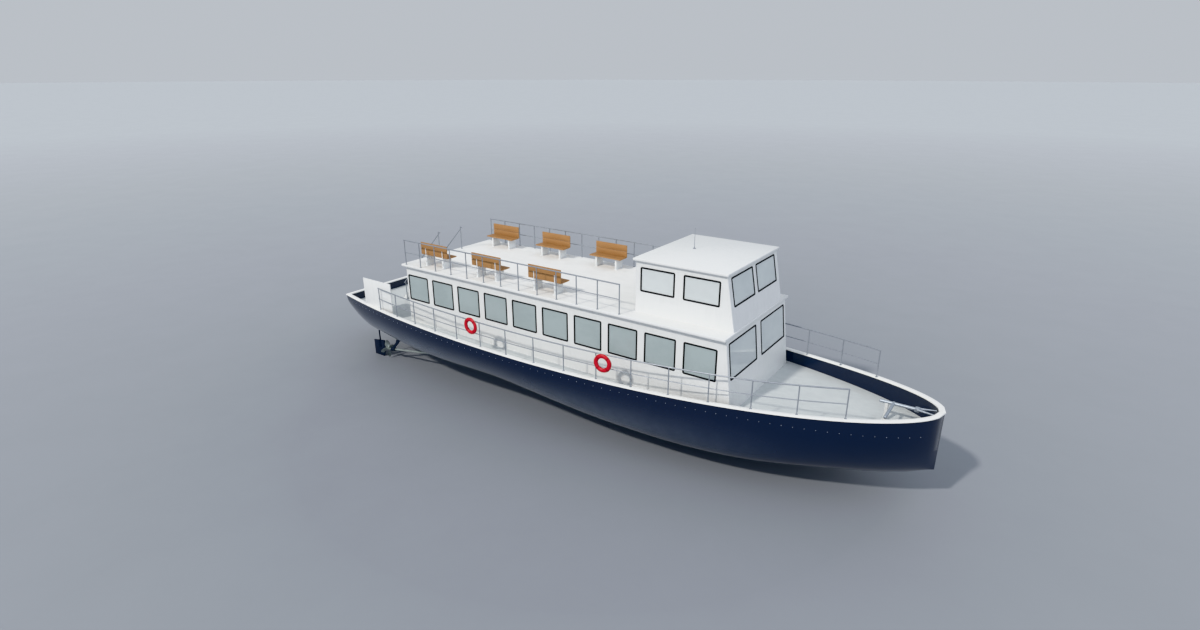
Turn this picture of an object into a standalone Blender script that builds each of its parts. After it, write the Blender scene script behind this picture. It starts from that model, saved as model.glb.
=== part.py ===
"""Passenger ferry, 25.7 m long, as an assembly of separate named pieces.

X points forward to the bow, Y to port and Z up, in metres. The origin is amidships on the
centreline, at the height of the water that the boat floats in.
"""

import math

import bmesh
import bpy
from mathutils import Matrix, Vector

# Clearances
GAP = 0.0003
PIN_CLEARANCE = 0.005
REACH = 14.0

# Hull: plan, sheer and keel
BOW_X = 12.86
TRANSOM_X = -12.86
WIDEST_X = -1.61
HALF_BEAM = 3.75
TRANSOM_NARROWING = 0.31
AFT_PLAN_POWER = 2.2
BOW_PLAN_POWER = 1.84
BOW_PLAN_ROUNDNESS = 0.535
SHEER_Z = 1.10
BOW_SHEER_RISE = 0.39
HULL_STATIONS = 30
SECTION_STEPS = 11

# Keel profile and how full the sections are, read off between these stations
KEEL_STATIONS = (
    # x, keel height, fullness of the section (2 is an ellipse, more is boxier)
    (-12.86, -0.54, 2.0),
    (-11.30, -0.58, 3.4),
    (-10.00, -0.59, 3.6),
    (-8.00, -0.77, 3.4),
    (-3.00, -1.09, 2.3),
    (3.00, -1.34, 3.0),
    (7.00, -1.25, 3.6),
    (10.30, -1.02, 2.6),
    (11.90, -0.78, 2.2),
    (12.86, -0.46, 1.9),
)

# Deck, bulwark and cap rail
DECK_Z = 0.71
DECK_PLATE = 0.03
BULWARK = 0.12
BOW_JOINT_X = 12.0
CAP_OVERHANG = 0.03
CAP_WIDTH = 0.19
CAP_HEIGHT = 0.045

# Saloon
SALOON_AFT_X = -8.34
SALOON_HALF_WIDTH = 2.52
SALOON_FRONT_X = 6.90
SALOON_RAKE = 0.116
RAKE_REFERENCE_Z = 1.893
WALL = 0.08
SALOON_TOP_Z = 3.278
SIDE_WINDOW_COUNT = 10
SIDE_WINDOW_PITCH = 1.50
FIRST_WINDOW_X = -8.2125
SIDE_WINDOW = (1.145, 1.059)
SILL_Z = 1.80
SALOON_FRONT_WINDOW = (0.232, 2.320, 1.893, 3.081)
SALOON_DOOR_Y = -1.90
SALOON_DOOR_TOP_Z = 2.93
GLASS = 0.008
GLASS_LAP = 0.05
PANE_SIDE_GAP = 0.02

# Doors in the aft walls, hinged at their starboard edge
DOOR_WIDTH = 0.80
DOOR_THICKNESS = 0.05
DOOR_SILL = 0.05
DOOR_LIGHT_MARGIN = 0.15
DOOR_LIGHT_BELOW_TOP = (0.95, 0.20)
CUTTER_REACH = 0.2

# Upper deck and its roof edge
UPPER_DECK_Z = 3.378
UPPER_DECK_AFT_X = -8.42
UPPER_DECK_FRONT_X = 6.80
UPPER_DECK_HALF_WIDTH = 2.715

# Wheelhouse
WHEELHOUSE_AFT_X = 3.07
WHEELHOUSE_FRONT_X = 6.765
WHEELHOUSE_RAKE = 0.190
WHEELHOUSE_HALF_WIDTH = 2.028
WHEELHOUSE_TOP_Z = 5.205
WHEELHOUSE_SIDE_WINDOWS = ((3.287, 4.539), (4.931, 6.183))
WHEELHOUSE_SILL_Z = 4.169
WHEELHOUSE_SIDE_HEAD_Z = 4.959
WHEELHOUSE_FRONT_WINDOW = (0.160, 1.756, 4.169, 5.064)
WHEELHOUSE_ROOF = (2.99, 6.50, 2.142, 0.09)
WHEELHOUSE_DOOR_Y = -0.40
WHEELHOUSE_DOOR_TOP_Z = 5.10
ANTENNA_PLACE = (4.12, 0.15)
ANTENNA_FOOT = (0.05, 0.05)
ANTENNA_WHIP = (0.012, 0.75)

# Helm console, wheel and chair, with heights above the upper deck
CONSOLE_X = (5.85, 6.30)
CONSOLE_HALF_WIDTH = 0.70
CONSOLE_HEIGHT = 0.95
CONSOLE_SLOPE = ((5.70, 1.20), (5.70, 0.90), (6.00, 0.90))
COLUMN_X = 5.95
COLUMN_RADIUS = 0.03
HELM_WHEEL_X = 5.72
HELM_WHEEL_HEIGHT = 0.80
HELM_WHEEL_RADIUS = 0.24
HELM_HUB_RADIUS = 0.05
HELM_SPOKES = 6
HELM_SPOKE_RADIUS = 0.011
HELM_RIM_RADIUS = 0.02
HELM_RIM_STEPS = 24
CHAIR_BLOCKS = (
    # low x, high x, half width, low height, high height
    (4.75, 5.15, 0.20, 0.00, 0.05),
    (4.90, 5.00, 0.05, 0.02, 0.55),
    (4.70, 5.18, 0.25, 0.50, 0.62),
    (4.62, 4.74, 0.24, 0.55, 1.25),
)

# Rails
RAIL_RADIUS = 0.024
MID_RAIL_RADIUS = 0.017
POST_RADIUS = 0.021
MAIN_RAIL_HEIGHT = 0.98
MAIN_RAIL_POSTS = 16
MAIN_RAIL_FIRST_X = -9.68
MAIN_RAIL_LAST_X = 10.44
MAIN_RAIL_INSET = 0.10
MAIN_RAIL_BOW_INSET = 0.12
MAIN_RAIL_BOW_X = 9.0
MAIN_RAIL_END = 0.06
POST_LIFT = 0.004
UPPER_RAIL_HEIGHT = 1.065
UPPER_RAIL_POSTS = 13
UPPER_RAIL_FIRST_X = -8.163
UPPER_RAIL_PITCH = 0.9135
UPPER_RAIL_Y = 2.641

# Benches on the upper deck
BENCH_X = (-6.80, -3.80, -0.82)
BENCH_LENGTH = 1.56
BENCH_FRONT_Y = 1.72
BENCH_SEAT_DEPTH = 0.46
BENCH_SEAT_Z = 0.50
BENCH_BACK_PLANKS = ((0.47, 0.725), (0.735, 0.99))
BENCH_BACK_GAP = 0.03
BENCH_BACK_THICKNESS = 0.04
BENCH_LEG_INSET = 0.28
BENCH_LEG = 0.09
BENCH_BRACKET = 0.05
BENCH_LEG_FRONT_Y = 1.80
BENCH_LEG_TOPS = (0.465, 0.95)
PLANK = 0.045

# Seats in the saloon, with heights above the main deck
SEAT_ROWS = 9
SEAT_FIRST_X = -6.90
SEAT_PITCH = 1.45
SEAT_Y = (0.55, 2.25)
SEAT_BASE = (-7.00, 5.20, 0.08)
SEAT_DEPTH = 0.45
SEAT_HEIGHT = 0.45
SEAT_BACK_X = (-0.07, 0.03)
SEAT_BACK_HEIGHT = 0.95

# Stair at the aft end of the upper deck
STAIR_HALF_WIDTH = 0.60
STAIR_STEPS = 11
STAIR_RUN = 2.60
STAIR_RAIL_HEIGHT = 0.93
STAIR_STRING = 0.03
STAIR_STRING_DEPTH = 0.30
STAIR_FOOT = (0.12, -0.16)
TREAD_X = (-0.06, 0.20)
TREAD_THICKNESS = 0.035
TREAD_LET_IN = 0.015
HANDRAIL_RADIUS = 0.02
HANDRAIL_OFFSET = 0.075
HANDRAIL_POST_INSET = 0.20
HANDRAIL_FOOT_INSET = 0.10
HANDRAIL_OVERRUN = 0.10

# Life rings
RING_RADIUS = 0.335
RING_TUBE = 0.075
RING_FLATTENING = 0.75
RING_STEPS = (20, 6)
RING_STANDOFF = 0.012
RING_PLACES = ((-3.33, 1.95), (2.73, 1.85))

# Bow anchor
ANCHOR_Z = 1.40
ANCHOR_AFT_X = 11.00
ANCHOR_FORK_X = 12.10
ANCHOR_STOCK_X = 11.40
ANCHOR_STOCK_END_Y = -1.10
ANCHOR_SHANK_RADIUS = 0.055
ANCHOR_STOCK_RADIUS = 0.05
ANCHOR_ARM_TIP = (12.60, 0.17, 0.03)
ANCHOR_ARM_RADII = (0.04, 0.02)
ANCHOR_CROWN = 0.075
ANCHOR_ARM_ROOT_Y = 0.045
ANCHOR_CHOCK = (11.15, 11.27, 0.065)

# Boarding screens at the quarters
SCREEN_X = (-10.87, -9.00)
SCREEN_Y = 2.965
SCREEN_Z = (0.77, 2.40)
SCREEN_THICKNESS = 0.04

# Stern gear, one set on each side
GEAR_Y = 2.07
SHAFT_SLOPE = 0.159
HUB_X = -10.86
HUB_Z = -1.39
SHAFT_RADIUS = 0.045
PROPELLER_RADIUS = 0.42
HUB_RADIUS = 0.085
HUB_LENGTH = 0.20
BLADES = 4
BLADE_ROWS = 6
BLADE_ROOT = 0.05
BLADE_CHORD = 0.25
BLADE_THICKNESS = 0.028
BLADE_SECTION = ((-0.5, 0.0), (-0.2, 0.5), (0.2, 0.5), (0.5, 0.0), (0.2, -0.5), (-0.2, -0.5))
PROPELLER_PITCH = 0.60
SHAFT_FORWARD_X = -6.20
SHAFT_BORE_AFT_X = -8.60
STRUT_X = -10.45
STRUT_BARREL = (0.13, 0.085)
STRUT_WEB_HALF = 0.03
STRUT_WEB_TOP = (-10.03, -9.70, -0.46)
STRUT_BORE_SLACK = 0.001
PALM_X = (-10.05, -9.65)
PALM_HALF_WIDTH = 0.10
PALM_Z = (-0.54, -0.20)
RUDDER_STOCK_X = -11.40
RUDDER_STOCK_RADIUS = 0.032
RUDDER_X = (-11.84, -11.07)
RUDDER_Z = (-1.86, -1.02)
RUDDER_THICKNESS = 0.06
RUDDER_NOTCH = (0.07, -1.44)
RUDDER_FORE_CUT = (0.14, 0.30)
RUDDER_TOP_FALL = (0.02, 0.05, 0.10)
RUDDER_STOCK_LAP = 0.10
RUDDER_BORE_TOP_Z = 0.20

SIDES = (("starboard", -1), ("port", 1))

COLOURS = {
    # finish: (red, green, blue, roughness, metallic), the colours linear
    "navy_gloss": (0.006, 0.017, 0.062, 0.25, 0.0),
    "white_gloss": (0.80, 0.82, 0.82, 0.40, 0.0),
    "deck_paint": (0.60, 0.65, 0.64, 0.70, 0.0),
    "window_glass": (0.40, 0.50, 0.51, 0.10, 0.0),
    "rail_steel": (0.19, 0.22, 0.25, 0.35, 0.8),
    "teak": (0.48, 0.23, 0.06, 0.60, 0.0),
    "ring_red": (0.53, 0.012, 0.027, 0.50, 0.0),
    "shaft_metal": (0.42, 0.46, 0.50, 0.30, 0.9),
    "console_grey": (0.18, 0.20, 0.22, 0.50, 0.0),
}


def clear_scene():
    """Remove every object of the startup scene."""
    for old in list(bpy.data.objects):
        bpy.data.objects.remove(old, do_unlink=True)


def finish(node, colour):
    """Give the node its own Principled material and return the node."""
    red, green, blue, roughness, metallic = COLOURS[colour]
    material = bpy.data.materials.new(f"{colour}_{node.name}")
    material.use_nodes = True
    shader = material.node_tree.nodes["Principled BSDF"]
    shader.inputs["Base Color"].default_value = (red, green, blue, 1.0)
    shader.inputs["Roughness"].default_value = roughness
    shader.inputs["Metallic"].default_value = metallic
    node.data.materials.clear()
    node.data.materials.append(material)
    return node


def node_from_bmesh(name, mesh, origin=(0.0, 0.0, 0.0)):
    """Make an object of the bmesh, its origin at the given point."""
    bmesh.ops.recalc_face_normals(mesh, faces=mesh.faces)
    bmesh.ops.translate(mesh, verts=mesh.verts, vec=-Vector(origin))
    data = bpy.data.meshes.new(name)
    mesh.to_mesh(data)
    mesh.free()
    node = bpy.data.objects.new(name, data)
    node.location = origin
    bpy.context.scene.collection.objects.link(node)
    return node


def helper(node):
    """Mark an object as a cutter or joiner that is no piece of the boat."""
    node.hide_render = True
    node.display_type = "WIRE"
    return node


def boolean(node, other, operation="DIFFERENCE"):
    """Cut or join the node with one helper."""
    helper(other)
    modifier = node.modifiers.new(operation.title(), "BOOLEAN")
    modifier.operation = operation
    modifier.solver = "EXACT"
    modifier.object = other
    return node


def add_box(mesh, low, high):
    """Add a closed box between two corners to the bmesh."""
    size = [b - a for a, b in zip(low, high)]
    centre = [(a + b) / 2 for a, b in zip(low, high)]
    matrix = Matrix.Translation(centre) @ Matrix.Diagonal((*size, 1.0))
    bmesh.ops.create_cube(mesh, size=1.0, matrix=matrix)


def box(name, low, high, origin=(0.0, 0.0, 0.0)):
    """One box as an object."""
    mesh = bmesh.new()
    add_box(mesh, low, high)
    return node_from_bmesh(name, mesh, origin)


def boxes(name, corners, origin=(0.0, 0.0, 0.0)):
    """A box joined with the others of the list, each given by two corners."""
    first, *others = corners
    node = box(name, *first, origin)
    for index, (low, high) in enumerate(others):
        boolean(node, box(f"{name}_join_{index}", low, high), "UNION")
    return node


def prism(name, outline, axis, start, end, origin=(0.0, 0.0, 0.0)):
    """Extrude a plane outline along X, Y or Z from start to end."""
    place = {
        "x": lambda a, b, along: (along, a, b),
        "y": lambda a, b, along: (a, along, b),
        "z": lambda a, b, along: (a, b, along),
    }[axis]
    mesh = bmesh.new()
    face = mesh.faces.new([mesh.verts.new(place(a, b, start)) for a, b in outline])
    made = bmesh.ops.extrude_face_region(mesh, geom=[face])["geom"]
    moved = [item for item in made if isinstance(item, bmesh.types.BMVert)]
    step = Vector(place(0.0, 0.0, end)) - Vector(place(0.0, 0.0, start))
    bmesh.ops.translate(mesh, verts=moved, vec=step)
    return node_from_bmesh(name, mesh, origin)


def rod(name, start, end, radius, sides=12, origin=(0.0, 0.0, 0.0), end_radius=None):
    """A round rod, or a taper, between two points."""
    start, end = Vector(start), Vector(end)
    along = end - start
    turn = along.to_track_quat("Z", "Y").to_matrix().to_4x4()
    mesh = bmesh.new()
    bmesh.ops.create_cone(
        mesh,
        cap_ends=True,
        segments=sides,
        radius1=radius,
        radius2=radius if end_radius is None else end_radius,
        depth=along.length,
        matrix=Matrix.Translation((start + end) / 2) @ turn,
    )
    return node_from_bmesh(name, mesh, origin)


def tube(name, points, radius, sides=6, closed=False):
    """A round tube that follows the points, mitred at each of them."""
    mesh = bmesh.new()
    points = [Vector(point) for point in points]
    rings = []
    count = len(points)
    for index, point in enumerate(points):
        before = points[index - 1] if index or closed else point
        after = points[(index + 1) % count] if index < count - 1 or closed else point
        along_in = (point - before).normalized()
        along_out = (after - point).normalized()
        tangent = (along_in + along_out).normalized()
        cosine = max(tangent.dot(along_out if along_out.length else along_in), 0.4)
        side = tangent.cross(Vector((0.0, 0.0, 1.0)))
        if side.length < 0.1:
            side = tangent.cross(Vector((0.0, 1.0, 0.0)))
        side.normalize()
        up = side.cross(tangent).normalized()
        ring = []
        for step in range(sides):
            angle = 2 * math.pi * (step + 0.5) / sides
            offset = side * math.cos(angle) / cosine + up * math.sin(angle)
            ring.append(mesh.verts.new(point + offset * radius))
        rings.append(ring)
    pairs = list(zip(rings, rings[1:]))
    if closed:
        pairs.append((rings[-1], rings[0]))
    for one, other in pairs:
        for step in range(sides):
            turn = (step + 1) % sides
            mesh.faces.new((one[step], one[turn], other[turn], other[step]))
    if not closed:
        mesh.faces.new(rings[0])
        mesh.faces.new(rings[-1])
    return node_from_bmesh(name, mesh)


def half_breadth(x):
    """Half the width of the hull at its sheer, at this distance along it."""
    if x >= WIDEST_X:
        along = min((x - WIDEST_X) / (BOW_X - WIDEST_X), 1.0)
        return HALF_BEAM * (1 - along**BOW_PLAN_POWER) ** BOW_PLAN_ROUNDNESS
    along = (WIDEST_X - x) / (WIDEST_X - TRANSOM_X)
    return HALF_BEAM * (1 - TRANSOM_NARROWING * along**AFT_PLAN_POWER)


def sheer(x):
    """Height of the hull's top edge, which rises towards the bow."""
    along = max(x - WIDEST_X, 0.0) / (BOW_X - WIDEST_X)
    return SHEER_Z + BOW_SHEER_RISE * along**3


def keel_and_fullness(x):
    """Keel height and section fullness, smoothly between the table's stations."""
    table = KEEL_STATIONS
    for index in range(len(table) - 1):
        if x <= table[index + 1][0]:
            break
    before = table[max(index - 1, 0)]
    low, high = table[index], table[index + 1]
    after = table[min(index + 2, len(table) - 1)]
    span = high[0] - low[0]
    part = min(max((x - low[0]) / span, 0.0), 1.0)
    values = []
    for column in (1, 2):
        slope_low = (high[column] - before[column]) / (high[0] - before[0])
        slope_high = (after[column] - low[column]) / (after[0] - low[0])
        values.append(
            (2 * part**3 - 3 * part**2 + 1) * low[column]
            + (part**3 - 2 * part**2 + part) * span * slope_low
            + (3 * part**2 - 2 * part**3) * high[column]
            + (part**3 - part**2) * span * slope_high
        )
    return values


def station_positions():
    """Distances along the hull, closer together where the bow rounds in."""
    positions = []
    for index in range(HULL_STATIONS + 1):
        part = index / HULL_STATIONS
        eased = 0.45 * part + 0.55 * math.sin(part * math.pi / 2)
        positions.append(TRANSOM_X + (BOW_X - TRANSOM_X) * eased)
    return positions


def sheer_line(x):
    """Height of the hull's built top edge, which is straight between its stations."""
    positions = station_positions()
    for low, high in zip(positions, positions[1:]):
        if x <= high:
            break
    part = max((x - low) / (high - low), 0.0)
    return sheer(low) + (sheer(high) - sheer(low)) * part


def plan_half(inset):
    """Points of the port half of the deck plan, inset square to its edge, from stern to bow."""
    step = 0.01
    points = []
    for x in station_positions()[1:-1]:
        slope = (half_breadth(x + step) - half_breadth(x)) / step
        length = math.hypot(1.0, slope)
        points.append((x + slope * inset / length, half_breadth(x) - inset / length))
    (first_x, first_y), (second_x, second_y) = points[:2]
    aft = TRANSOM_X + inset
    corner_y = first_y - (second_y - first_y) / (second_x - first_x) * (first_x - aft)
    return [(aft, corner_y), *points, (BOW_X - inset, 0.0)]


def plan_outline(inset):
    """The whole deck plan, forward along the starboard side and back along the port side."""
    half = plan_half(inset)
    return [(x, -y) for x, y in half] + [(x, y) for x, y in reversed(half[:-1])]


def section(x):
    """Points of one hull section from the starboard sheer round the keel to port."""
    keel, fullness = keel_and_fullness(x)
    top = sheer(x)
    width = half_breadth(x)
    points = []
    for index in range(SECTION_STEPS + 1):
        angle = math.pi / 2 * index / SECTION_STEPS
        across = width * max(math.cos(angle), 0.0) ** (2 / fullness)
        down = (top - keel) * math.sin(angle) ** (2 / fullness)
        points.append((x, -across, top - down))
    mirrored = [(a, -b, c) for a, b, c in reversed(points[:-1])]
    return points + mirrored


def hull_solid(name):
    """The hull's outer form, closed along the sheer."""
    mesh = bmesh.new()
    rows = [[mesh.verts.new(point) for point in section(x)] for x in station_positions()]
    for one, other in zip(rows, rows[1:]):
        for index in range(len(one) - 1):
            mesh.faces.new((one[index], one[index + 1], other[index + 1], other[index]))
        mesh.faces.new((one[-1], one[0], other[0], other[-1]))
    mesh.faces.new(rows[0])
    bmesh.ops.remove_doubles(mesh, verts=mesh.verts, dist=0.0001)
    bmesh.ops.dissolve_degenerate(mesh, edges=mesh.edges, dist=0.00001)
    bmesh.ops.triangulate(mesh, faces=mesh.faces)
    return node_from_bmesh(name, mesh)


def shaft_point(x):
    """Point on a propeller shaft's axis, without its side."""
    return x, HUB_Z + (x - HUB_X) * SHAFT_SLOPE


def make_hull():
    """Hull up to the deck, with the slots of the screens and the stern gear's openings."""
    hull = finish(hull_solid("hull"), "navy_gloss")
    boolean(hull, box("hull_top_cut", (-REACH, -REACH, DECK_Z), (REACH, REACH, REACH)))
    for side, sign in SIDES:
        boolean(hull, screen_solid(f"hull_slot_{side}", sign, GAP))
        y = sign * GEAR_Y
        bore = rod(
            f"hull_rudder_bore_{side}",
            (RUDDER_STOCK_X, y, HUB_Z),
            (RUDDER_STOCK_X, y, RUDDER_BORE_TOP_Z),
            RUDDER_STOCK_RADIUS + PIN_CLEARANCE,
        )
        boolean(hull, bore)
        start_x, start_z = shaft_point(SHAFT_BORE_AFT_X)
        end_x, end_z = shaft_point(SHAFT_FORWARD_X + 0.05)
        tunnel = rod(
            f"hull_shaft_bore_{side}",
            (start_x, y, start_z),
            (end_x, y, end_z),
            SHAFT_RADIUS + PIN_CLEARANCE,
        )
        boolean(hull, tunnel)
        boolean(hull, strut_palm(f"hull_palm_pocket_{side}", sign, GAP))


def bulwark_ring(name):
    """The hull's sides above the deck, as a ring all the way round."""
    ring = finish(hull_solid(name), "navy_gloss")
    below = box(f"{name}_below", (-REACH, -REACH, -REACH), (REACH, REACH, DECK_Z + GAP))
    well = prism(f"{name}_well", plan_outline(BULWARK), "z", DECK_Z - BULWARK, REACH)
    return boolean(boolean(ring, below), well)


def slab(name, low_x=-REACH, high_x=REACH, low_y=-REACH, high_y=REACH):
    """A cutter that takes everything between these planes, over the boat's whole height."""
    return box(name, (low_x, low_y, -REACH), (high_x, high_y, REACH))


def make_bulwarks():
    """Bulwark round the stern, one along each side from its screen, and one round the bow."""
    aft_x, fore_x = SCREEN_X
    boolean(bulwark_ring("bulwark_aft"), slab("bulwark_aft_end", low_x=aft_x - GAP))
    boolean(bulwark_ring("bulwark_bow"), slab("bulwark_bow_end", high_x=BOW_JOINT_X))
    screen_face = SCREEN_Y + SCREEN_THICKNESS / 2 + GAP
    for side, sign in SIDES:
        bulwark = bulwark_ring(f"bulwark_{side}")
        start, end = sorted((0.0, -sign * REACH))
        boolean(bulwark, slab(f"bulwark_half_{side}", low_y=start, high_y=end))
        boolean(bulwark, slab(f"bulwark_stern_{side}", high_x=aft_x - GAP))
        boolean(bulwark, slab(f"bulwark_fore_{side}", low_x=BOW_JOINT_X - GAP))
        start, end = sorted((-sign * GAP, sign * screen_face))
        behind = slab(f"bulwark_screen_{side}", high_x=fore_x + GAP, low_y=start, high_y=end)
        boolean(bulwark, behind)


def make_deck():
    """Main deck plate inside the bulwark."""
    outline = plan_outline(BULWARK + GAP)
    deck = prism("main_deck", outline, "z", DECK_Z + GAP, DECK_Z + DECK_PLATE)
    for side, sign in SIDES:
        boolean(deck, screen_solid(f"deck_slot_{side}", sign, GAP))
    return finish(deck, "deck_paint")


def make_cap_rails():
    """White cap rail on the bulwark, in two halves that meet at the bow and the stern."""
    half = list(zip(plan_half(-CAP_OVERHANG), plan_half(CAP_WIDTH - CAP_OVERHANG)))
    middle = GAP / 2
    (outer_aft, _), (inner_aft, _) = half[0]
    (outer_bow, _), (inner_bow, _) = half[-1]
    half.insert(0, ((outer_aft, middle), (inner_aft, middle)))
    half[-1] = ((outer_bow, middle), (inner_bow, middle))
    for side, sign in SIDES:
        cap = cap_half(f"cap_rail_{side}", half, sign)
        boolean(cap, screen_solid(f"cap_slot_{side}", sign, GAP))
        finish(cap, "white_gloss")


def cap_half(name, pairs, sign):
    """One half of the cap rail through pairs of outer and inner plan points."""
    mesh = bmesh.new()
    rings = []
    for (outer_x, outer_y), (inner_x, inner_y) in pairs:
        outer_z = sheer_line(outer_x) + GAP
        inner_z = sheer_line(inner_x) + GAP
        ring = [
            (outer_x, sign * outer_y, outer_z),
            (outer_x, sign * outer_y, outer_z + CAP_HEIGHT),
            (inner_x, sign * inner_y, inner_z + CAP_HEIGHT),
            (inner_x, sign * inner_y, inner_z),
        ]
        rings.append([mesh.verts.new(point) for point in ring])
    for one, other in zip(rings, rings[1:]):
        for index in range(4):
            turn = (index + 1) % 4
            mesh.faces.new((one[index], one[turn], other[turn], other[index]))
    mesh.faces.new(rings[0])
    mesh.faces.new(rings[-1])
    return node_from_bmesh(name, mesh)


def screen_solid(name, sign, margin=0.0):
    """Upright boarding screen, or with a margin the slot that it stands in."""
    low_y, high_y = sorted(
        (
            sign * (SCREEN_Y - SCREEN_THICKNESS / 2 - margin),
            sign * (SCREEN_Y + SCREEN_THICKNESS / 2 + margin),
        )
    )
    low = (SCREEN_X[0] - margin, low_y, SCREEN_Z[0] - margin)
    high = (SCREEN_X[1] + margin, high_y, SCREEN_Z[1])
    return box(name, low, high)


def make_screens():
    """White screens that stand in slots of the bulwark at both quarters."""
    for side, sign in SIDES:
        finish(screen_solid(f"boarding_screen_{side}", sign), "white_gloss")


def front_x(base_x, rake, z, reference_z):
    """Where a raked front wall stands at this height."""
    return base_x - rake * (z - reference_z)


def make_side_wall(name, sign, outline, openings, half_width):
    """A side wall from its outline in X and Z, with its windows cut."""
    outer = sign * half_width
    inner = sign * (half_width - WALL)
    wall = prism(name, outline, "y", min(outer, inner), max(outer, inner))
    for index, (low_x, high_x, low_z, high_z) in enumerate(openings):
        reach = half_width + CUTTER_REACH
        start, end = sorted((sign * reach, sign * (half_width - WALL - CUTTER_REACH)))
        boolean(wall, box(f"{name}_opening_{index}", (low_x, start, low_z), (high_x, end, high_z)))
    return finish(wall, "white_gloss")


def make_front_wall(name, base_x, rake, reference_z, low_z, high_z, half_width, window):
    """A raked front wall between the side walls' outer faces, with two windows."""
    low = front_x(base_x, rake, low_z, reference_z)
    high = front_x(base_x, rake, high_z, reference_z)
    outline = [(low, low_z), (high, high_z), (high - WALL, high_z), (low - WALL, low_z)]
    wall = prism(name, outline, "y", -half_width, half_width)
    near, far, sill, head = window
    for side, sign in SIDES:
        start, end = sorted((sign * near, sign * far))
        cutter = box(f"{name}_window_{side}", (low - 1.0, start, sill), (low + 0.5, end, head))
        boolean(wall, cutter)
    return finish(wall, "white_gloss")


def make_pane(name, base_x, rake, reference_z, low_z, high_z, half_width):
    """One sheet of glass close behind a raked front wall."""
    behind = WALL + GAP
    low = front_x(base_x, rake, low_z, reference_z) - behind
    high = front_x(base_x, rake, high_z, reference_z) - behind
    outline = [(low, low_z), (high, high_z), (high - GLASS, high_z), (low - GLASS, low_z)]
    return finish(prism(name, outline, "y", -half_width, half_width), "window_glass")


def make_saloon():
    """Saloon walls, glass and aft door under the upper deck."""
    floor = DECK_Z + DECK_PLATE + GAP
    top = SALOON_TOP_Z - GAP
    low_x = front_x(SALOON_FRONT_X, SALOON_RAKE, floor, RAKE_REFERENCE_Z) - WALL - GAP
    high_x = front_x(SALOON_FRONT_X, SALOON_RAKE, top, RAKE_REFERENCE_Z) - WALL - GAP
    aft = SALOON_AFT_X + WALL + GAP
    outline = [(aft, floor), (low_x, floor), (high_x, top), (aft, top)]
    width, height = SIDE_WINDOW
    openings = []
    for index in range(SIDE_WINDOW_COUNT):
        start = FIRST_WINDOW_X + index * SIDE_WINDOW_PITCH
        openings.append((start, start + width, SILL_Z, SILL_Z + height))
    glass_low, glass_high = SILL_Z - GLASS_LAP, SILL_Z + height + GLASS_LAP
    for side, sign in SIDES:
        make_side_wall(f"saloon_wall_{side}", sign, outline, openings, SALOON_HALF_WIDTH)
        outer = sign * (SALOON_HALF_WIDTH - WALL - GAP)
        inner = sign * (SALOON_HALF_WIDTH - WALL - GAP - GLASS)
        low = (aft + GAP, min(outer, inner), glass_low)
        high = (openings[-1][1] + GLASS_LAP, max(outer, inner), glass_high)
        finish(box(f"saloon_glass_{side}", low, high), "window_glass")
    make_front_wall(
        "saloon_wall_front",
        SALOON_FRONT_X,
        SALOON_RAKE,
        RAKE_REFERENCE_Z,
        floor,
        top,
        SALOON_HALF_WIDTH,
        SALOON_FRONT_WINDOW,
    )
    sill, head = SALOON_FRONT_WINDOW[2:]
    make_pane(
        "saloon_glass_front",
        SALOON_FRONT_X,
        SALOON_RAKE,
        RAKE_REFERENCE_Z,
        sill - GLASS_LAP,
        head + GLASS_LAP,
        SALOON_HALF_WIDTH - WALL - PANE_SIDE_GAP,
    )
    make_aft_wall_and_door(
        "saloon", SALOON_AFT_X, SALOON_HALF_WIDTH, floor, top, SALOON_DOOR_TOP_Z, SALOON_DOOR_Y
    )


def make_aft_wall_and_door(room, aft_x, half_width, floor, top, door_top, door_y):
    """The aft wall of a room with its doorway, and the door hinged in it."""
    wall = box(f"{room}_wall_aft", (aft_x, -half_width, floor), (aft_x + WALL, half_width, top))
    sill = floor + DOOR_SILL
    opening_low = (aft_x - CUTTER_REACH, door_y, sill)
    opening_high = (aft_x + WALL + CUTTER_REACH, door_y + DOOR_WIDTH, door_top)
    boolean(wall, box(f"{room}_doorway", opening_low, opening_high))
    finish(wall, "white_gloss")
    hinge = (aft_x, door_y + PIN_CLEARANCE, 0.0)
    low = (aft_x, door_y + PIN_CLEARANCE, sill + PIN_CLEARANCE)
    high = (aft_x + DOOR_THICKNESS, door_y + DOOR_WIDTH - PIN_CLEARANCE, door_top - PIN_CLEARANCE)
    door = box(f"{room}_door", low, high, hinge)
    light_bottom, light_top = (door_top - below for below in DOOR_LIGHT_BELOW_TOP)
    light_low = (aft_x - CUTTER_REACH, door_y + DOOR_LIGHT_MARGIN, light_bottom)
    light_high = (aft_x + CUTTER_REACH, door_y + DOOR_WIDTH - DOOR_LIGHT_MARGIN, light_top)
    boolean(door, box(f"{room}_door_light", light_low, light_high))
    finish(door, "white_gloss")


def make_upper_deck():
    """Saloon roof, which is the open upper deck."""
    low = (UPPER_DECK_AFT_X, -UPPER_DECK_HALF_WIDTH, SALOON_TOP_Z)
    high = (UPPER_DECK_FRONT_X, UPPER_DECK_HALF_WIDTH, UPPER_DECK_Z)
    finish(box("upper_deck", low, high), "white_gloss")


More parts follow.
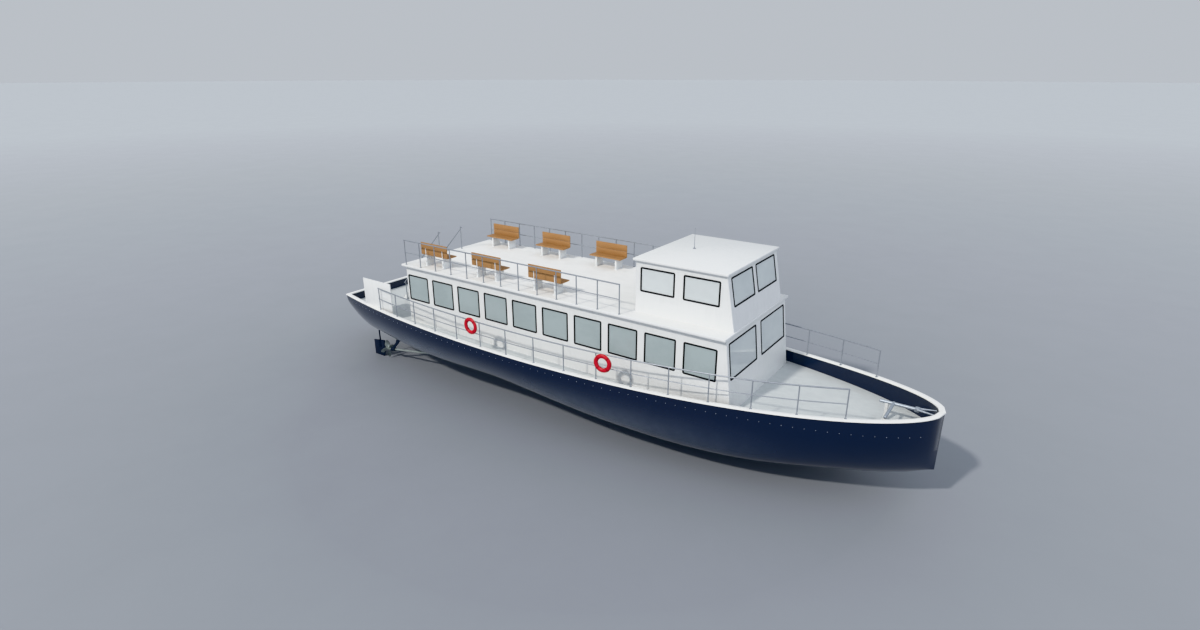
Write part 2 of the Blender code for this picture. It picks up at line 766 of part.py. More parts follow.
def make_wheelhouse():
    """Wheelhouse walls, glass, door, roof and antenna."""
    floor = UPPER_DECK_Z + GAP
    top = WHEELHOUSE_TOP_Z - GAP
    reference = UPPER_DECK_Z
    low_x = front_x(WHEELHOUSE_FRONT_X, WHEELHOUSE_RAKE, floor, reference) - WALL - GAP
    high_x = front_x(WHEELHOUSE_FRONT_X, WHEELHOUSE_RAKE, top, reference) - WALL - GAP
    aft = WHEELHOUSE_AFT_X + WALL + GAP
    outline = [(aft, floor), (low_x, floor), (high_x, top), (aft, top)]
    sill, head = WHEELHOUSE_SILL_Z, WHEELHOUSE_SIDE_HEAD_Z
    openings = [(start, end, sill, head) for start, end in WHEELHOUSE_SIDE_WINDOWS]
    for side, sign in SIDES:
        make_side_wall(f"wheelhouse_wall_{side}", sign, outline, openings, WHEELHOUSE_HALF_WIDTH)
        outer = sign * (WHEELHOUSE_HALF_WIDTH - WALL - GAP)
        inner = sign * (WHEELHOUSE_HALF_WIDTH - WALL - GAP - GLASS)
        low = (aft + GAP, min(outer, inner), sill - GLASS_LAP)
        high = (openings[-1][1] + GLASS_LAP, max(outer, inner), head + GLASS_LAP)
        finish(box(f"wheelhouse_glass_{side}", low, high), "window_glass")
    make_front_wall(
        "wheelhouse_wall_front",
        WHEELHOUSE_FRONT_X,
        WHEELHOUSE_RAKE,
        reference,
        floor,
        top,
        WHEELHOUSE_HALF_WIDTH,
        WHEELHOUSE_FRONT_WINDOW,
    )
    front_sill, front_head = WHEELHOUSE_FRONT_WINDOW[2:]
    make_pane(
        "wheelhouse_glass_front",
        WHEELHOUSE_FRONT_X,
        WHEELHOUSE_RAKE,
        reference,
        front_sill - GLASS_LAP,
        front_head + GLASS_LAP,
        WHEELHOUSE_HALF_WIDTH - WALL - PANE_SIDE_GAP,
    )
    make_aft_wall_and_door(
        "wheelhouse",
        WHEELHOUSE_AFT_X,
        WHEELHOUSE_HALF_WIDTH,
        floor,
        top,
        WHEELHOUSE_DOOR_TOP_Z,
        WHEELHOUSE_DOOR_Y,
    )
    roof_aft, roof_front, roof_half_width, roof_thickness = WHEELHOUSE_ROOF
    low = (roof_aft, -roof_half_width, WHEELHOUSE_TOP_Z)
    high = (roof_front, roof_half_width, WHEELHOUSE_TOP_Z + roof_thickness)
    finish(box("wheelhouse_roof", low, high), "white_gloss")
    make_antenna(WHEELHOUSE_TOP_Z + roof_thickness + GAP)


def make_antenna(base):
    """Whip antenna with its foot on the wheelhouse roof."""
    x, y = ANTENNA_PLACE
    foot_radius, foot_height = ANTENNA_FOOT
    whip_radius, whip_height = ANTENNA_WHIP
    antenna = rod("antenna", (x, y, base), (x, y, base + foot_height), foot_radius)
    whip_start = (x, y, base + foot_height / 2)
    whip = rod("antenna_whip", whip_start, (x, y, base + whip_height), whip_radius, 8)
    finish(boolean(antenna, whip, "UNION"), "rail_steel")


def make_helm():
    """Helm console with its wheel, and the chair behind it."""
    floor = UPPER_DECK_Z + GAP
    low_x, high_x = CONSOLE_X
    low = (low_x, -CONSOLE_HALF_WIDTH, floor)
    console = box("helm_console", low, (high_x, CONSOLE_HALF_WIDTH, floor + CONSOLE_HEIGHT))
    outline = [(x, floor + height) for x, height in CONSOLE_SLOPE]
    reach = CONSOLE_HALF_WIDTH + CUTTER_REACH
    boolean(console, prism("helm_console_slope", outline, "y", -reach, reach))
    column_z = floor + HELM_WHEEL_HEIGHT
    column_start = (COLUMN_X, 0.0, column_z)
    column = rod("helm_column", column_start, (HELM_WHEEL_X + 0.04, 0.0, column_z), COLUMN_RADIUS)
    finish(boolean(console, column, "UNION"), "console_grey")
    make_helm_wheel(column_z)
    blocks = [
        ((x0, -half, floor + z0), (x1, half, floor + z1)) for x0, x1, half, z0, z1 in CHAIR_BLOCKS
    ]
    finish(boxes("helm_chair", blocks), "console_grey")


def make_helm_wheel(centre_z):
    """Steering wheel just aft of the console's column."""
    x = HELM_WHEEL_X

    def around(angle, radius):
        return (x, radius * math.cos(angle), centre_z + radius * math.sin(angle))

    hub_ends = ((x - 0.02, 0, centre_z), (x + 0.035, 0, centre_z))
    wheel = rod("helm_wheel", *hub_ends, HELM_HUB_RADIUS, 14)
    for index in range(HELM_SPOKES):
        angle = 2 * math.pi * index / HELM_SPOKES + 0.1
        start = around(angle, HELM_HUB_RADIUS * 0.6)
        end = around(angle, HELM_WHEEL_RADIUS)
        boolean(wheel, rod(f"helm_spoke_{index}", start, end, HELM_SPOKE_RADIUS, 6), "UNION")
    step = 2 * math.pi / HELM_RIM_STEPS
    points = [around(step * index, HELM_WHEEL_RADIUS) for index in range(HELM_RIM_STEPS)]
    boolean(wheel, tube("helm_rim", points, HELM_RIM_RADIUS, closed=True), "UNION")
    finish(wheel, "teak")


def make_rail(name, path, heights, posts, radii):
    """A rail of long tubes at several heights, joined by its posts."""
    top_height = heights[0]
    rail = tube(name, [(x, y, z + top_height) for x, y, z in path], radii[0])
    for index, height in enumerate(heights[1:]):
        line = tube(f"{name}_line_{index}", [(x, y, z + height) for x, y, z in path], radii[1])
        boolean(rail, line, "UNION")
    for index, (x, y, z) in enumerate(posts):
        post = rod(f"{name}_post_{index}", (x, y, z), (x, y, z + top_height), POST_RADIUS, 6)
        boolean(rail, post, "UNION")
    return finish(rail, "rail_steel")


def cap_top(x):
    """Height of the cap rail's upper face."""
    return sheer(x) + GAP + CAP_HEIGHT


def make_main_rails():
    """Rails that stand on the cap rail along both sides."""
    for side, sign in SIDES:
        span = MAIN_RAIL_LAST_X - MAIN_RAIL_FIRST_X
        posts = []
        path = []
        for index in range(MAIN_RAIL_POSTS):
            x = MAIN_RAIL_FIRST_X + span * index / (MAIN_RAIL_POSTS - 1)
            inset = MAIN_RAIL_INSET if x < MAIN_RAIL_BOW_X else MAIN_RAIL_BOW_INSET
            y = sign * (half_breadth(x) - inset)
            posts.append((x, y, cap_top(x) + POST_LIFT))
            path.append((x, y, cap_top(x)))
        first = path[0]
        end_y = sign * (half_breadth(first[0] - MAIN_RAIL_END) - MAIN_RAIL_INSET)
        path.insert(0, (first[0] - MAIN_RAIL_END, end_y, first[2]))
        make_rail(
            f"main_rail_{side}",
            path,
            (MAIN_RAIL_HEIGHT, MAIN_RAIL_HEIGHT / 2),
            posts,
            (RAIL_RADIUS, MID_RAIL_RADIUS),
        )


def make_upper_rails():
    """Rails along both edges of the upper deck."""
    base = UPPER_DECK_Z + GAP
    last = UPPER_RAIL_FIRST_X + UPPER_RAIL_PITCH * (UPPER_RAIL_POSTS - 1)
    for side, sign in SIDES:
        y = sign * UPPER_RAIL_Y
        posts = []
        for index in range(UPPER_RAIL_POSTS):
            posts.append((UPPER_RAIL_FIRST_X + UPPER_RAIL_PITCH * index, y, base))
        path = [(UPPER_RAIL_FIRST_X - 0.03, y, base), (last + 0.02, y, base)]
        make_rail(
            f"upper_rail_{side}",
            path,
            (UPPER_RAIL_HEIGHT, UPPER_RAIL_HEIGHT / 2),
            posts,
            (RAIL_RADIUS, MID_RAIL_RADIUS),
        )


def make_benches():
    """Six benches on the upper deck that face inboard."""
    base = UPPER_DECK_Z + GAP
    for side, sign in SIDES:
        for number, centre in enumerate(BENCH_X, start=1):
            low_x, high_x = centre - BENCH_LENGTH / 2, centre + BENCH_LENGTH / 2
            back_y = BENCH_FRONT_Y + BENCH_SEAT_DEPTH

            def part(x0, x1, y0, y1, z0, z1):
                start, end = sorted((sign * y0, sign * y1))
                return (x0, start, base + z0), (x1, end, base + z1)

            top = BENCH_SEAT_Z
            pieces = [part(low_x, high_x, BENCH_FRONT_Y, back_y, top - PLANK, top)]
            plank_y = back_y + BENCH_BACK_GAP
            for low_z, high_z in BENCH_BACK_PLANKS:
                plank_end = plank_y + BENCH_BACK_THICKNESS
                pieces.append(part(low_x, high_x, plank_y, plank_end, low_z, high_z))
            frame_top, back_top = BENCH_LEG_TOPS
            leg_y = back_y + BENCH_BACK_GAP + BENCH_BACK_THICKNESS / 2
            for leg in (low_x + BENCH_LEG_INSET, high_x - BENCH_LEG_INSET):
                start, end = leg - BENCH_LEG / 2, leg + BENCH_LEG / 2
                pieces.append(part(start, end, BENCH_LEG_FRONT_Y, leg_y, 0.0, frame_top))
                pieces.append(part(start, end, leg_y - BENCH_BRACKET, leg_y, 0.30, back_top))
            finish(boxes(f"bench_{side}_{number}", pieces), "teak")


def make_saloon_seats():
    """Rows of seats in the saloon, one block of rows on each side of the aisle."""
    base = DECK_Z + DECK_PLATE + GAP
    for side, sign in SIDES:
        start, end = sorted((sign * SEAT_Y[0], sign * SEAT_Y[1]))
        base_start, base_end, base_height = SEAT_BASE
        let_in = base + base_height / 2
        pieces = [((base_start, start, base), (base_end, end, base + base_height))]
        for row in range(SEAT_ROWS):
            x = SEAT_FIRST_X + SEAT_PITCH * row
            back_start, back_end = (x + offset for offset in SEAT_BACK_X)
            block_end = (x + SEAT_DEPTH, end, base + SEAT_HEIGHT)
            pieces.append(((x, start, let_in), block_end))
            back_low = (back_start, start, let_in + PIN_CLEARANCE)
            pieces.append((back_low, (back_end, end, base + SEAT_BACK_HEIGHT)))
        finish(boxes(f"saloon_seats_{side}", pieces), "console_grey")


def make_stair():
    """Stair from the upper deck's aft edge down to the main deck."""
    low_z = DECK_Z + DECK_PLATE + GAP
    rise = (UPPER_DECK_Z - low_z) / STAIR_STEPS
    run = STAIR_RUN / STAIR_STEPS
    top_x = UPPER_DECK_AFT_X - GAP
    foot_x = top_x - STAIR_RUN
    outline = [
        (top_x, UPPER_DECK_Z),
        (top_x, UPPER_DECK_Z - STAIR_STRING_DEPTH),
        (foot_x + STAIR_FOOT[0], low_z),
        (foot_x + STAIR_FOOT[1], low_z),
    ]
    near, far = STAIR_HALF_WIDTH, STAIR_HALF_WIDTH + STAIR_STRING
    stair = prism("stair", outline, "y", -far, -near)
    tread_end = near + TREAD_LET_IN
    for index in range(1, STAIR_STEPS):
        z = UPPER_DECK_Z - rise * index
        start, end = (top_x - run * index + offset for offset in TREAD_X)
        tread_low = (start, -tread_end, z - TREAD_THICKNESS)
        tread = box(f"stair_tread_{index}", tread_low, (end, tread_end, z))
        boolean(stair, tread, "UNION")
    boolean(stair, prism("stair_string", outline, "y", near, far), "UNION")
    finish(stair, "white_gloss")


def make_stair_handrails():
    """Handrails on both sides of the stair, standing on the upper deck and the main deck."""
    base = UPPER_DECK_Z + GAP
    low_z = DECK_Z + DECK_PLATE + GAP
    slope = (UPPER_DECK_Z - low_z) / STAIR_RUN
    post_x = UPPER_DECK_AFT_X + HANDRAIL_POST_INSET
    end_x = UPPER_DECK_AFT_X - STAIR_RUN + HANDRAIL_FOOT_INSET
    foot_x = end_x + HANDRAIL_FOOT_INSET
    top = base + STAIR_RAIL_HEIGHT
    end_z = top - slope * (post_x - end_x)
    foot_top = top - slope * (post_x - foot_x)
    over_x, over_z = post_x + HANDRAIL_OVERRUN, top + slope * HANDRAIL_OVERRUN
    for side, sign in SIDES:
        y = sign * (STAIR_HALF_WIDTH + HANDRAIL_OFFSET)
        path = [(over_x, y, over_z), (end_x, y, end_z)]
        rail = tube(f"stair_handrail_{side}", path, HANDRAIL_RADIUS)
        upper_ends = ((post_x, y, base), (post_x, y, over_z))
        lower_ends = ((foot_x, y, low_z), (foot_x, y, foot_top))
        for place, ends in (("upper", upper_ends), ("lower", lower_ends)):
            boolean(rail, rod(f"stair_post_{place}_{side}", *ends, POST_RADIUS, 8), "UNION")
        finish(rail, "rail_steel")


def make_life_rings():
    """Life rings that hang outside the main rails, turned with the side of the hull."""
    step = 0.3
    for side, sign in SIDES:
        for number, (x, z) in enumerate(RING_PLACES, start=1):
            slope = (half_breadth(x + step) - half_breadth(x - step)) / (2 * step)
            rail_outside = half_breadth(x) - MAIN_RAIL_INSET + RAIL_RADIUS
            outward = rail_outside + RING_TUBE + RING_STANDOFF

            def place(along, out, up):
                return (x + along, sign * (outward + slope * along + out), z + up)

            ring = ring_solid(f"life_ring_{side}_{number}", place)
            finish(ring, "ring_red")


def ring_solid(name, place):
    """A flattened torus, each point put in the scene by the given function."""
    mesh = bmesh.new()
    around, across = RING_STEPS
    rings = []
    for index in range(around):
        angle = 2 * math.pi * index / around
        row = []
        for turn in range(across):
            part = 2 * math.pi * turn / across
            radius = RING_RADIUS - RING_TUBE + RING_TUBE * math.cos(part)
            out = RING_FLATTENING * RING_TUBE * math.sin(part)
            point = place(radius * math.cos(angle), out, radius * math.sin(angle))
            row.append(mesh.verts.new(point))
        rings.append(row)
    for one, other in zip(rings, rings[1:] + rings[:1]):
        for turn in range(across):
            after = (turn + 1) % across
            mesh.faces.new((one[turn], one[after], other[after], other[turn]))
    return node_from_bmesh(name, mesh)


def make_anchor():
    """Bow anchor: shank on the centreline, two arms at the stem, stock out to starboard."""
    shank_ends = ((ANCHOR_AFT_X, 0, ANCHOR_Z), (ANCHOR_FORK_X, 0, ANCHOR_Z))
    anchor = rod("anchor", *shank_ends, ANCHOR_SHANK_RADIUS, 10)
    stock_start = (ANCHOR_STOCK_X, ANCHOR_STOCK_RADIUS, ANCHOR_Z)
    stock_end = (ANCHOR_STOCK_X, ANCHOR_STOCK_END_Y, ANCHOR_Z)
    boolean(anchor, rod("anchor_stock", stock_start, stock_end, ANCHOR_STOCK_RADIUS, 10), "UNION")
    crown_low = [middle - ANCHOR_CROWN for middle in (ANCHOR_FORK_X, 0.0, ANCHOR_Z)]
    crown_high = [middle + ANCHOR_CROWN for middle in (ANCHOR_FORK_X, 0.0, ANCHOR_Z)]
    boolean(anchor, box("anchor_crown", crown_low, crown_high), "UNION")
    tip_x, tip_y, tip_rise = ANCHOR_ARM_TIP
    root_radius, tip_radius = ANCHOR_ARM_RADII
    for side, sign in SIDES:
        start = (ANCHOR_FORK_X, sign * ANCHOR_ARM_ROOT_Y, ANCHOR_Z + 0.01)
        end = (tip_x, sign * tip_y, ANCHOR_Z + tip_rise)
        arm = rod(f"anchor_arm_{side}", start, end, root_radius, 10, end_radius=tip_radius)
        boolean(anchor, arm, "UNION")
    floor = DECK_Z + DECK_PLATE + GAP
    chock_start, chock_end, half = ANCHOR_CHOCK
    chock = box("anchor_chock", (chock_start, -half, floor), (chock_end, half, ANCHOR_Z))
    finish(boolean(anchor, chock, "UNION"), "rail_steel")


def strut_palm(name, sign, margin=0.0):
    """Flat palm of a shaft strut, let into the hull's bottom."""
    y = sign * GEAR_Y
    half = PALM_HALF_WIDTH + margin
    low = (PALM_X[0] - margin, y - half, PALM_Z[0] - margin)
    high = (PALM_X[1] + margin, y + half, PALM_Z[1] + margin)
    return box(name, low, high)


def make_stern_gear():
    """Shafts with propellers, their struts, and the rudders on their stocks."""
    direction = Vector((1.0, 0.0, SHAFT_SLOPE)).normalized()
    for side, sign in SIDES:
        y = sign * GEAR_Y
        hub = Vector((HUB_X, y, HUB_Z))
        forward_x, forward_z = shaft_point(SHAFT_FORWARD_X)
        propeller = rod(
            f"propeller_{side}",
            hub - direction * HUB_LENGTH * 0.5,
            hub + direction * HUB_LENGTH * 0.5,
            HUB_RADIUS * 0.75,
            14,
            hub,
            HUB_RADIUS,
        )
        boolean(
            propeller,
            rod(f"propeller_shaft_{side}", hub, (forward_x, y, forward_z), SHAFT_RADIUS, 12),
            "UNION",
        )
        frame = Matrix.Translation(hub) @ direction.to_track_quat("Z", "Y").to_matrix().to_4x4()
        for index in range(BLADES):
            blade = blade_solid(f"propeller_blade_{side}_{index}", index, frame, sign)
            boolean(propeller, blade, "UNION")
        finish(propeller, "shaft_metal")
        make_strut(side, sign, y)
        make_rudder(side, y)


def blade_solid(name, index, frame, sign):
    """One propeller blade: a rounded plate twisted to a constant pitch."""
    mesh = bmesh.new()
    turn = Matrix.Rotation(2 * math.pi * index / BLADES, 4, "Z")
    rings = []
    for step in range(BLADE_ROWS + 1):
        part = step / BLADE_ROWS
        radius = BLADE_ROOT + (PROPELLER_RADIUS - BLADE_ROOT) * part
        lean = sign * math.atan2(PROPELLER_PITCH, 2 * math.pi * radius)
        chord = BLADE_CHORD * (0.42 + 0.58 * math.sin(math.pi * part**0.9)) * (1 - 0.2 * part**4)
        thickness = BLADE_THICKNESS * (1 - 0.7 * part)
        ring = []
        for along, out in BLADE_SECTION:
            across = chord * along * math.cos(lean) - thickness * out * math.sin(lean)
            axial = chord * along * math.sin(lean) + thickness * out * math.cos(lean)
            ring.append(mesh.verts.new(frame @ turn @ Vector((radius, across, axial))))
        rings.append(ring)
    for one, other in zip(rings, rings[1:]):
        for corner in range(len(one)):
            after = (corner + 1) % len(one)
            mesh.faces.new((one[corner], one[after], other[after], other[corner]))
    mesh.faces.new(rings[0])
    mesh.faces.new(rings[-1])
    return node_from_bmesh(name, mesh)


def make_strut(side, sign, y):
    """Strut that carries the shaft's aft bearing below the hull."""
    strut = finish(strut_palm(f"shaft_strut_{side}", sign), "navy_gloss")
    bearing_x, bearing_z = shaft_point(STRUT_X)
    web_aft, web_fore, web_top = STRUT_WEB_TOP
    outline = [
        (web_aft, web_top),
        (web_fore, web_top),
        (bearing_x + 0.10, bearing_z + 0.02),
        (bearing_x - 0.10, bearing_z - 0.01),
    ]
    web_ends = (y - STRUT_WEB_HALF, y + STRUT_WEB_HALF)
    boolean(strut, prism(f"strut_web_{side}", outline, "y", *web_ends), "UNION")
    half_length, radius = STRUT_BARREL
    bore_radius = SHAFT_RADIUS + PIN_CLEARANCE + STRUT_BORE_SLACK
    boolean(strut, shaft_rod(f"strut_barrel_{side}", y, half_length, radius), "UNION")
    boolean(strut, shaft_rod(f"strut_bore_{side}", y, 3 * half_length, bore_radius))


def shaft_rod(name, y, half_length, radius):
    """A rod along the shaft's axis, centred on the strut's bearing."""
    start_x, start_z = shaft_point(STRUT_X - half_length)
    end_x, end_z = shaft_point(STRUT_X + half_length)
    return rod(name, (start_x, y, start_z), (end_x, y, end_z), radius, 16)


def make_rudder(side, y):
    """Rudder blade with a notch round its stock."""
    low_x, high_x = RUDDER_X
    low_z, high_z = RUDDER_Z
    notch_half_width, notch_z = RUDDER_NOTCH
    cut_x, cut_z = RUDDER_FORE_CUT
    fore_fall, mid_fall, aft_fall = RUDDER_TOP_FALL
    outline = [
        (low_x, low_z),
        (high_x - cut_x, low_z),
        (high_x, low_z + cut_z),
        (high_x, high_z),
        (RUDDER_STOCK_X + notch_half_width, high_z - fore_fall),
        (RUDDER_STOCK_X + notch_half_width, notch_z),
        (RUDDER_STOCK_X - notch_half_width, notch_z),
        (RUDDER_STOCK_X - notch_half_width, high_z - mid_fall),
        (low_x, high_z - aft_fall),
    ]
    half = RUDDER_THICKNESS / 2
    stock_top = (RUDDER_STOCK_X, y, 0.0)
    stock_foot = (RUDDER_STOCK_X, y, notch_z - RUDDER_STOCK_LAP)
    blade = prism(f"rudder_{side}", outline, "y", y - half, y + half, stock_top)
    stock = rod(f"rudder_stock_{side}", stock_foot, stock_top, RUDDER_STOCK_RADIUS)
    finish(boolean(blade, stock, "UNION"), "navy_gloss")


def smooth_round_pieces():
    """Shade curved faces smooth and keep the sharp edges."""
    for node in bpy.data.objects:
        if node.type == "MESH" and not node.hide_render:
            node.data.shade_smooth()
            node.data.set_sharp_from_angle(angle=math.radians(35))


def main():
    """Build every piece of the ferry."""
    clear_scene()
    make_hull()
    make_bulwarks()
    make_deck()
    make_cap_rails()
    make_screens()
    make_saloon()
    make_saloon_seats()
    make_upper_deck()
    make_wheelhouse()
    make_helm()
    make_main_rails()
    make_upper_rails()
    make_benches()
    make_stair()
    make_stair_handrails()
    make_life_rings()
    make_anchor()
    make_stern_gear()
    smooth_round_pieces()


main()
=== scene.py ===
"""Looks of a small passenger ferry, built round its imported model.

Sizes are in metres, in the model's own frame: X forward to the bow, Y to port and Z up. The
origin is amidships on the centreline, at the height of the water that the boat floats in.
"""

import logging
import math
from collections.abc import Sequence
from dataclasses import dataclass, replace
from enum import Enum

import bmesh
import bpy
from mathutils import Matrix, Vector


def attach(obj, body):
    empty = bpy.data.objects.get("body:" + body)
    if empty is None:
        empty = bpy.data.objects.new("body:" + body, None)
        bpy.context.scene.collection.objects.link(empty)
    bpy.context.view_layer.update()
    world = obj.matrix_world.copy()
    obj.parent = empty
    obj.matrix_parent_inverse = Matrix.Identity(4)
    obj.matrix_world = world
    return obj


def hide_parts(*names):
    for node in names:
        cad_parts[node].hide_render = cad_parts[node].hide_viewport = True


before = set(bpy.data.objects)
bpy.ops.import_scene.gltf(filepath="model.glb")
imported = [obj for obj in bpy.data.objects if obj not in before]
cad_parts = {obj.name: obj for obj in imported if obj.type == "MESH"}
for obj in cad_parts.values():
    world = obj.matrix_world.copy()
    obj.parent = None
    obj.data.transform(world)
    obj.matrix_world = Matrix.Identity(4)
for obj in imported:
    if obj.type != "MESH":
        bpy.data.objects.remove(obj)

LOG = logging.getLogger("ferry")
Point = Sequence[float]
Pair = tuple[float, float]
Triple = tuple[float, float, float]
Mesh = bpy.types.Mesh
Socket = bpy.types.NodeSocket
Tree = bpy.types.NodeTree


class Side(Enum):
    """The two sides of the boat, with the sign that Y has there."""

    STARBOARD = -1
    PORT = 1

    @property
    def label(self) -> str:
        """The side's name as the model's nodes spell it."""
        return self.name.lower()


class Body(Enum):
    """The model's bodies that carry pieces."""

    FERRY = "ferry"
    SALOON_DOOR = "saloon_door"
    WHEELHOUSE_DOOR = "wheelhouse_door"
    PROPELLER_STARBOARD = "propeller_starboard"
    PROPELLER_PORT = "propeller_port"
    RUDDER_STARBOARD = "rudder_starboard"
    RUDDER_PORT = "rudder_port"


class Axis(Enum):
    """The direction that an outline is drawn out along."""

    X = 0
    Y = 1
    Z = 2


def linear(code: str) -> tuple[float, float, float, float]:
    """Turn an sRGB hex colour to linear light.

    Args:
        code: the colour, such as "#c0884a".

    Returns:
        Red, green, blue and alpha.
    """
    parts = [int(code[start : start + 2], 16) / 255 for start in (1, 3, 5)]
    red, green, blue = (
        part / 12.92 if part <= 0.04045 else ((part + 0.055) / 1.055) ** 2.4 for part in parts
    )
    return red, green, blue, 1.0


def add_node(
    tree: Tree,
    kind: str,
    settings: dict[str, object] | None = None,
    inputs: dict[str | int, object] | None = None,
) -> bpy.types.Node:
    """Add one node with its settings and links.

    Args:
        tree: the tree that it goes into.
        kind: the node's type name.
        settings: the node's own properties.
        inputs: a value, a socket to link, or a list of sockets, for each input.

    Returns:
        The new node.
    """
    made = tree.nodes.new(kind)
    for name, value in (settings or {}).items():
        setattr(made, name, value)
    for key, value in (inputs or {}).items():
        several = value if isinstance(value, list) else [value]
        for one in several:
            if isinstance(one, Socket):
                tree.links.new(one, made.inputs[key])
            else:
                made.inputs[key].default_value = one
    return made


def linked(name: str, data: bpy.types.ID) -> bpy.types.Object:
    """Make an object and link it to the scene.

    Args:
        name: its name.
        data: its mesh, light or camera.

    Returns:
        The object.
    """
    made = bpy.data.objects.new(name, data)
    bpy.context.scene.collection.objects.link(made)
    return made


def circle(count: int) -> list[Pair]:
    """Give the cosine and the sine of angles spread evenly all round."""
    angles = [2 * math.pi * step / count for step in range(count)]
    return [(math.cos(angle), math.sin(angle)) for angle in angles]


class Wiring:
    """A node tree in the making."""

    def __init__(self, tree: Tree) -> None:
        """Start with a tree."""
        self.tree = tree

    def add(
        self,
        kind: str,
        inputs: dict[str | int, object] | None = None,
        settings: dict[str, object] | None = None,
        output: int | str = 0,
    ) -> Socket:
        """Add a node and give one of its outputs."""
        return add_node(self.tree, kind, settings, inputs).outputs[output]

    def product(self, first: Socket, second: Socket | float) -> Socket:
        """Multiply two values."""
        return self.add("ShaderNodeMath", {0: first, 1: second}, {"operation": "MULTIPLY"})


class Brush(Wiring):
    """A material's tree, with the patterns that the finishes are made of."""

    def __init__(self, tree: Tree, patch: Triple) -> None:
        """Start with the Object coordinates and the slow cloud.

        Args:
            tree: the material's tree.
            patch: the cloud's real size in metres along X, Y and Z.
        """
        super().__init__(tree)
        self.place = self.add("ShaderNodeTexCoord", output="Object")
        self.cloud = self.noise(patch, 4.0)

    def noise(self, size: Triple, detail: float) -> Socket:
        """Add noise of about 0.3 to 0.7.

        Args:
            size: the pattern's real size in metres along X, Y and Z.
            detail: how many finer layers it has.

        Returns:
            The noise.
        """
        scale = tuple(1 / part for part in size)
        spread = self.add("ShaderNodeMapping", {"Vector": self.place, "Scale": scale})
        inputs = {"Vector": spread, "Scale": 1.0, "Detail": detail, "Roughness": 0.6}
        return self.add("ShaderNodeTexNoise", inputs)

    def cells(self, size: float, output: int | str) -> Socket:
        """Add cells of a real size, and give their distance or colour."""
        inputs = {"Vector": self.place, "Scale": 1 / size}
        return self.add("ShaderNodeTexVoronoi", inputs, None, output)

    def axis(self, index: int, vector: Socket | None = None) -> Socket:
        """Give one part of a vector, or of the Object coordinates."""
        return self.add("ShaderNodeSeparateXYZ", {0: vector or self.place}, None, index)

    def ramp(
        self, value: Socket, span: Pair, result: Pair = (0.0, 1.0), ease: str = "LINEAR"
    ) -> Socket:
        """Turn a span of a value into a result, which stays level past both ends.

        Args:
            value: the value.
            span: where the result starts and ends.
            result: what it is there.
            ease: how it goes from one to the other.

        Returns:
            The result.
        """
        names = ("Value", "From Min", "From Max", "To Min", "To Max")
        inputs = dict(zip(names, (value, *span, *result)))
        return self.add("ShaderNodeMapRange", inputs, {"interpolation_type": ease})

    def mix(self, share: Socket, first: object, second: object) -> Socket:
        """Mix two colours."""
        inputs = {0: share, 6: first, 7: second}
        return self.add("ShaderNodeMix", inputs, {"data_type": "RGBA"}, 2)


@dataclass(frozen=True)
class Finish:
    """A finish: its colours, its gloss, and the pattern and relief of its surface.

    Patch and grain are the real sizes in metres, along X, Y and Z, of the slow change of colour
    and of the fine relief.
    """

    name: str
    colour: str
    shade: str
    roughness: float
    metallic: float = 0.0
    ior: float = 1.5
    coat: float = 0.0
    coat_roughness: float = 0.08
    alpha: float = 1.0
    patch: Triple = (0.7, 0.7, 0.7)
    contrast: float = 0.5
    grain: Triple = (0.01, 0.01, 0.01)
    depth: float = 0.0004
    bump: float = 0.6
    uneven: float = 0.05
    least_roughness: float = 0.02
    cloud_span: Pair = (0.3, 0.7)
    shade_span: Pair = (0.4, 0.7)

    def material(self) -> bpy.types.Material:
        """Build the material once and give it each time it is asked for.

        Returns:
            The material.
        """
        known = bpy.data.materials.get(self.name)
        if known is not None:
            return known
        made = bpy.data.materials.new(self.name)
        made.use_nodes = True
        made.node_tree.nodes.clear()
        brush = Brush(made.node_tree, self.patch)
        lowest = max(self.roughness - self.uneven, self.least_roughness)
        spread = (lowest, self.roughness + self.uneven)
        relief = {"Height": self.relief(brush), "Strength": self.bump, "Distance": self.depth}
        inputs = {
            "Base Color": self.paint(brush),
            "Roughness": brush.ramp(brush.cloud, self.cloud_span, spread),
            "Normal": brush.add("ShaderNodeBump", relief),
            "Metallic": self.metallic,
            "IOR": self.ior,
            "Coat Weight": self.coat,
            "Coat Roughness": self.coat_roughness,
            "Alpha": self.alpha,
        }
        surface = brush.add("ShaderNodeBsdfPrincipled", inputs)
        add_node(made.node_tree, "ShaderNodeOutputMaterial", inputs={"Surface": surface})
        return made

    def blend(self, brush: Brush, share: Socket, span: Pair) -> Socket:
        """Mix the colour with the shade as a pattern goes through a span."""
        part = brush.ramp(share, span, (0.0, self.contrast))
        return brush.mix(part, linear(self.colour), linear(self.shade))

    def paint(self, brush: Brush) -> Socket:
        """Give the colour, here slow patches of the shade."""
        return self.blend(brush, brush.cloud, self.shade_span)

    def relief(self, brush: Brush) -> Socket:
        """Give the height of the relief, here fine noise."""
        return brush.noise(self.grain, 2.0)


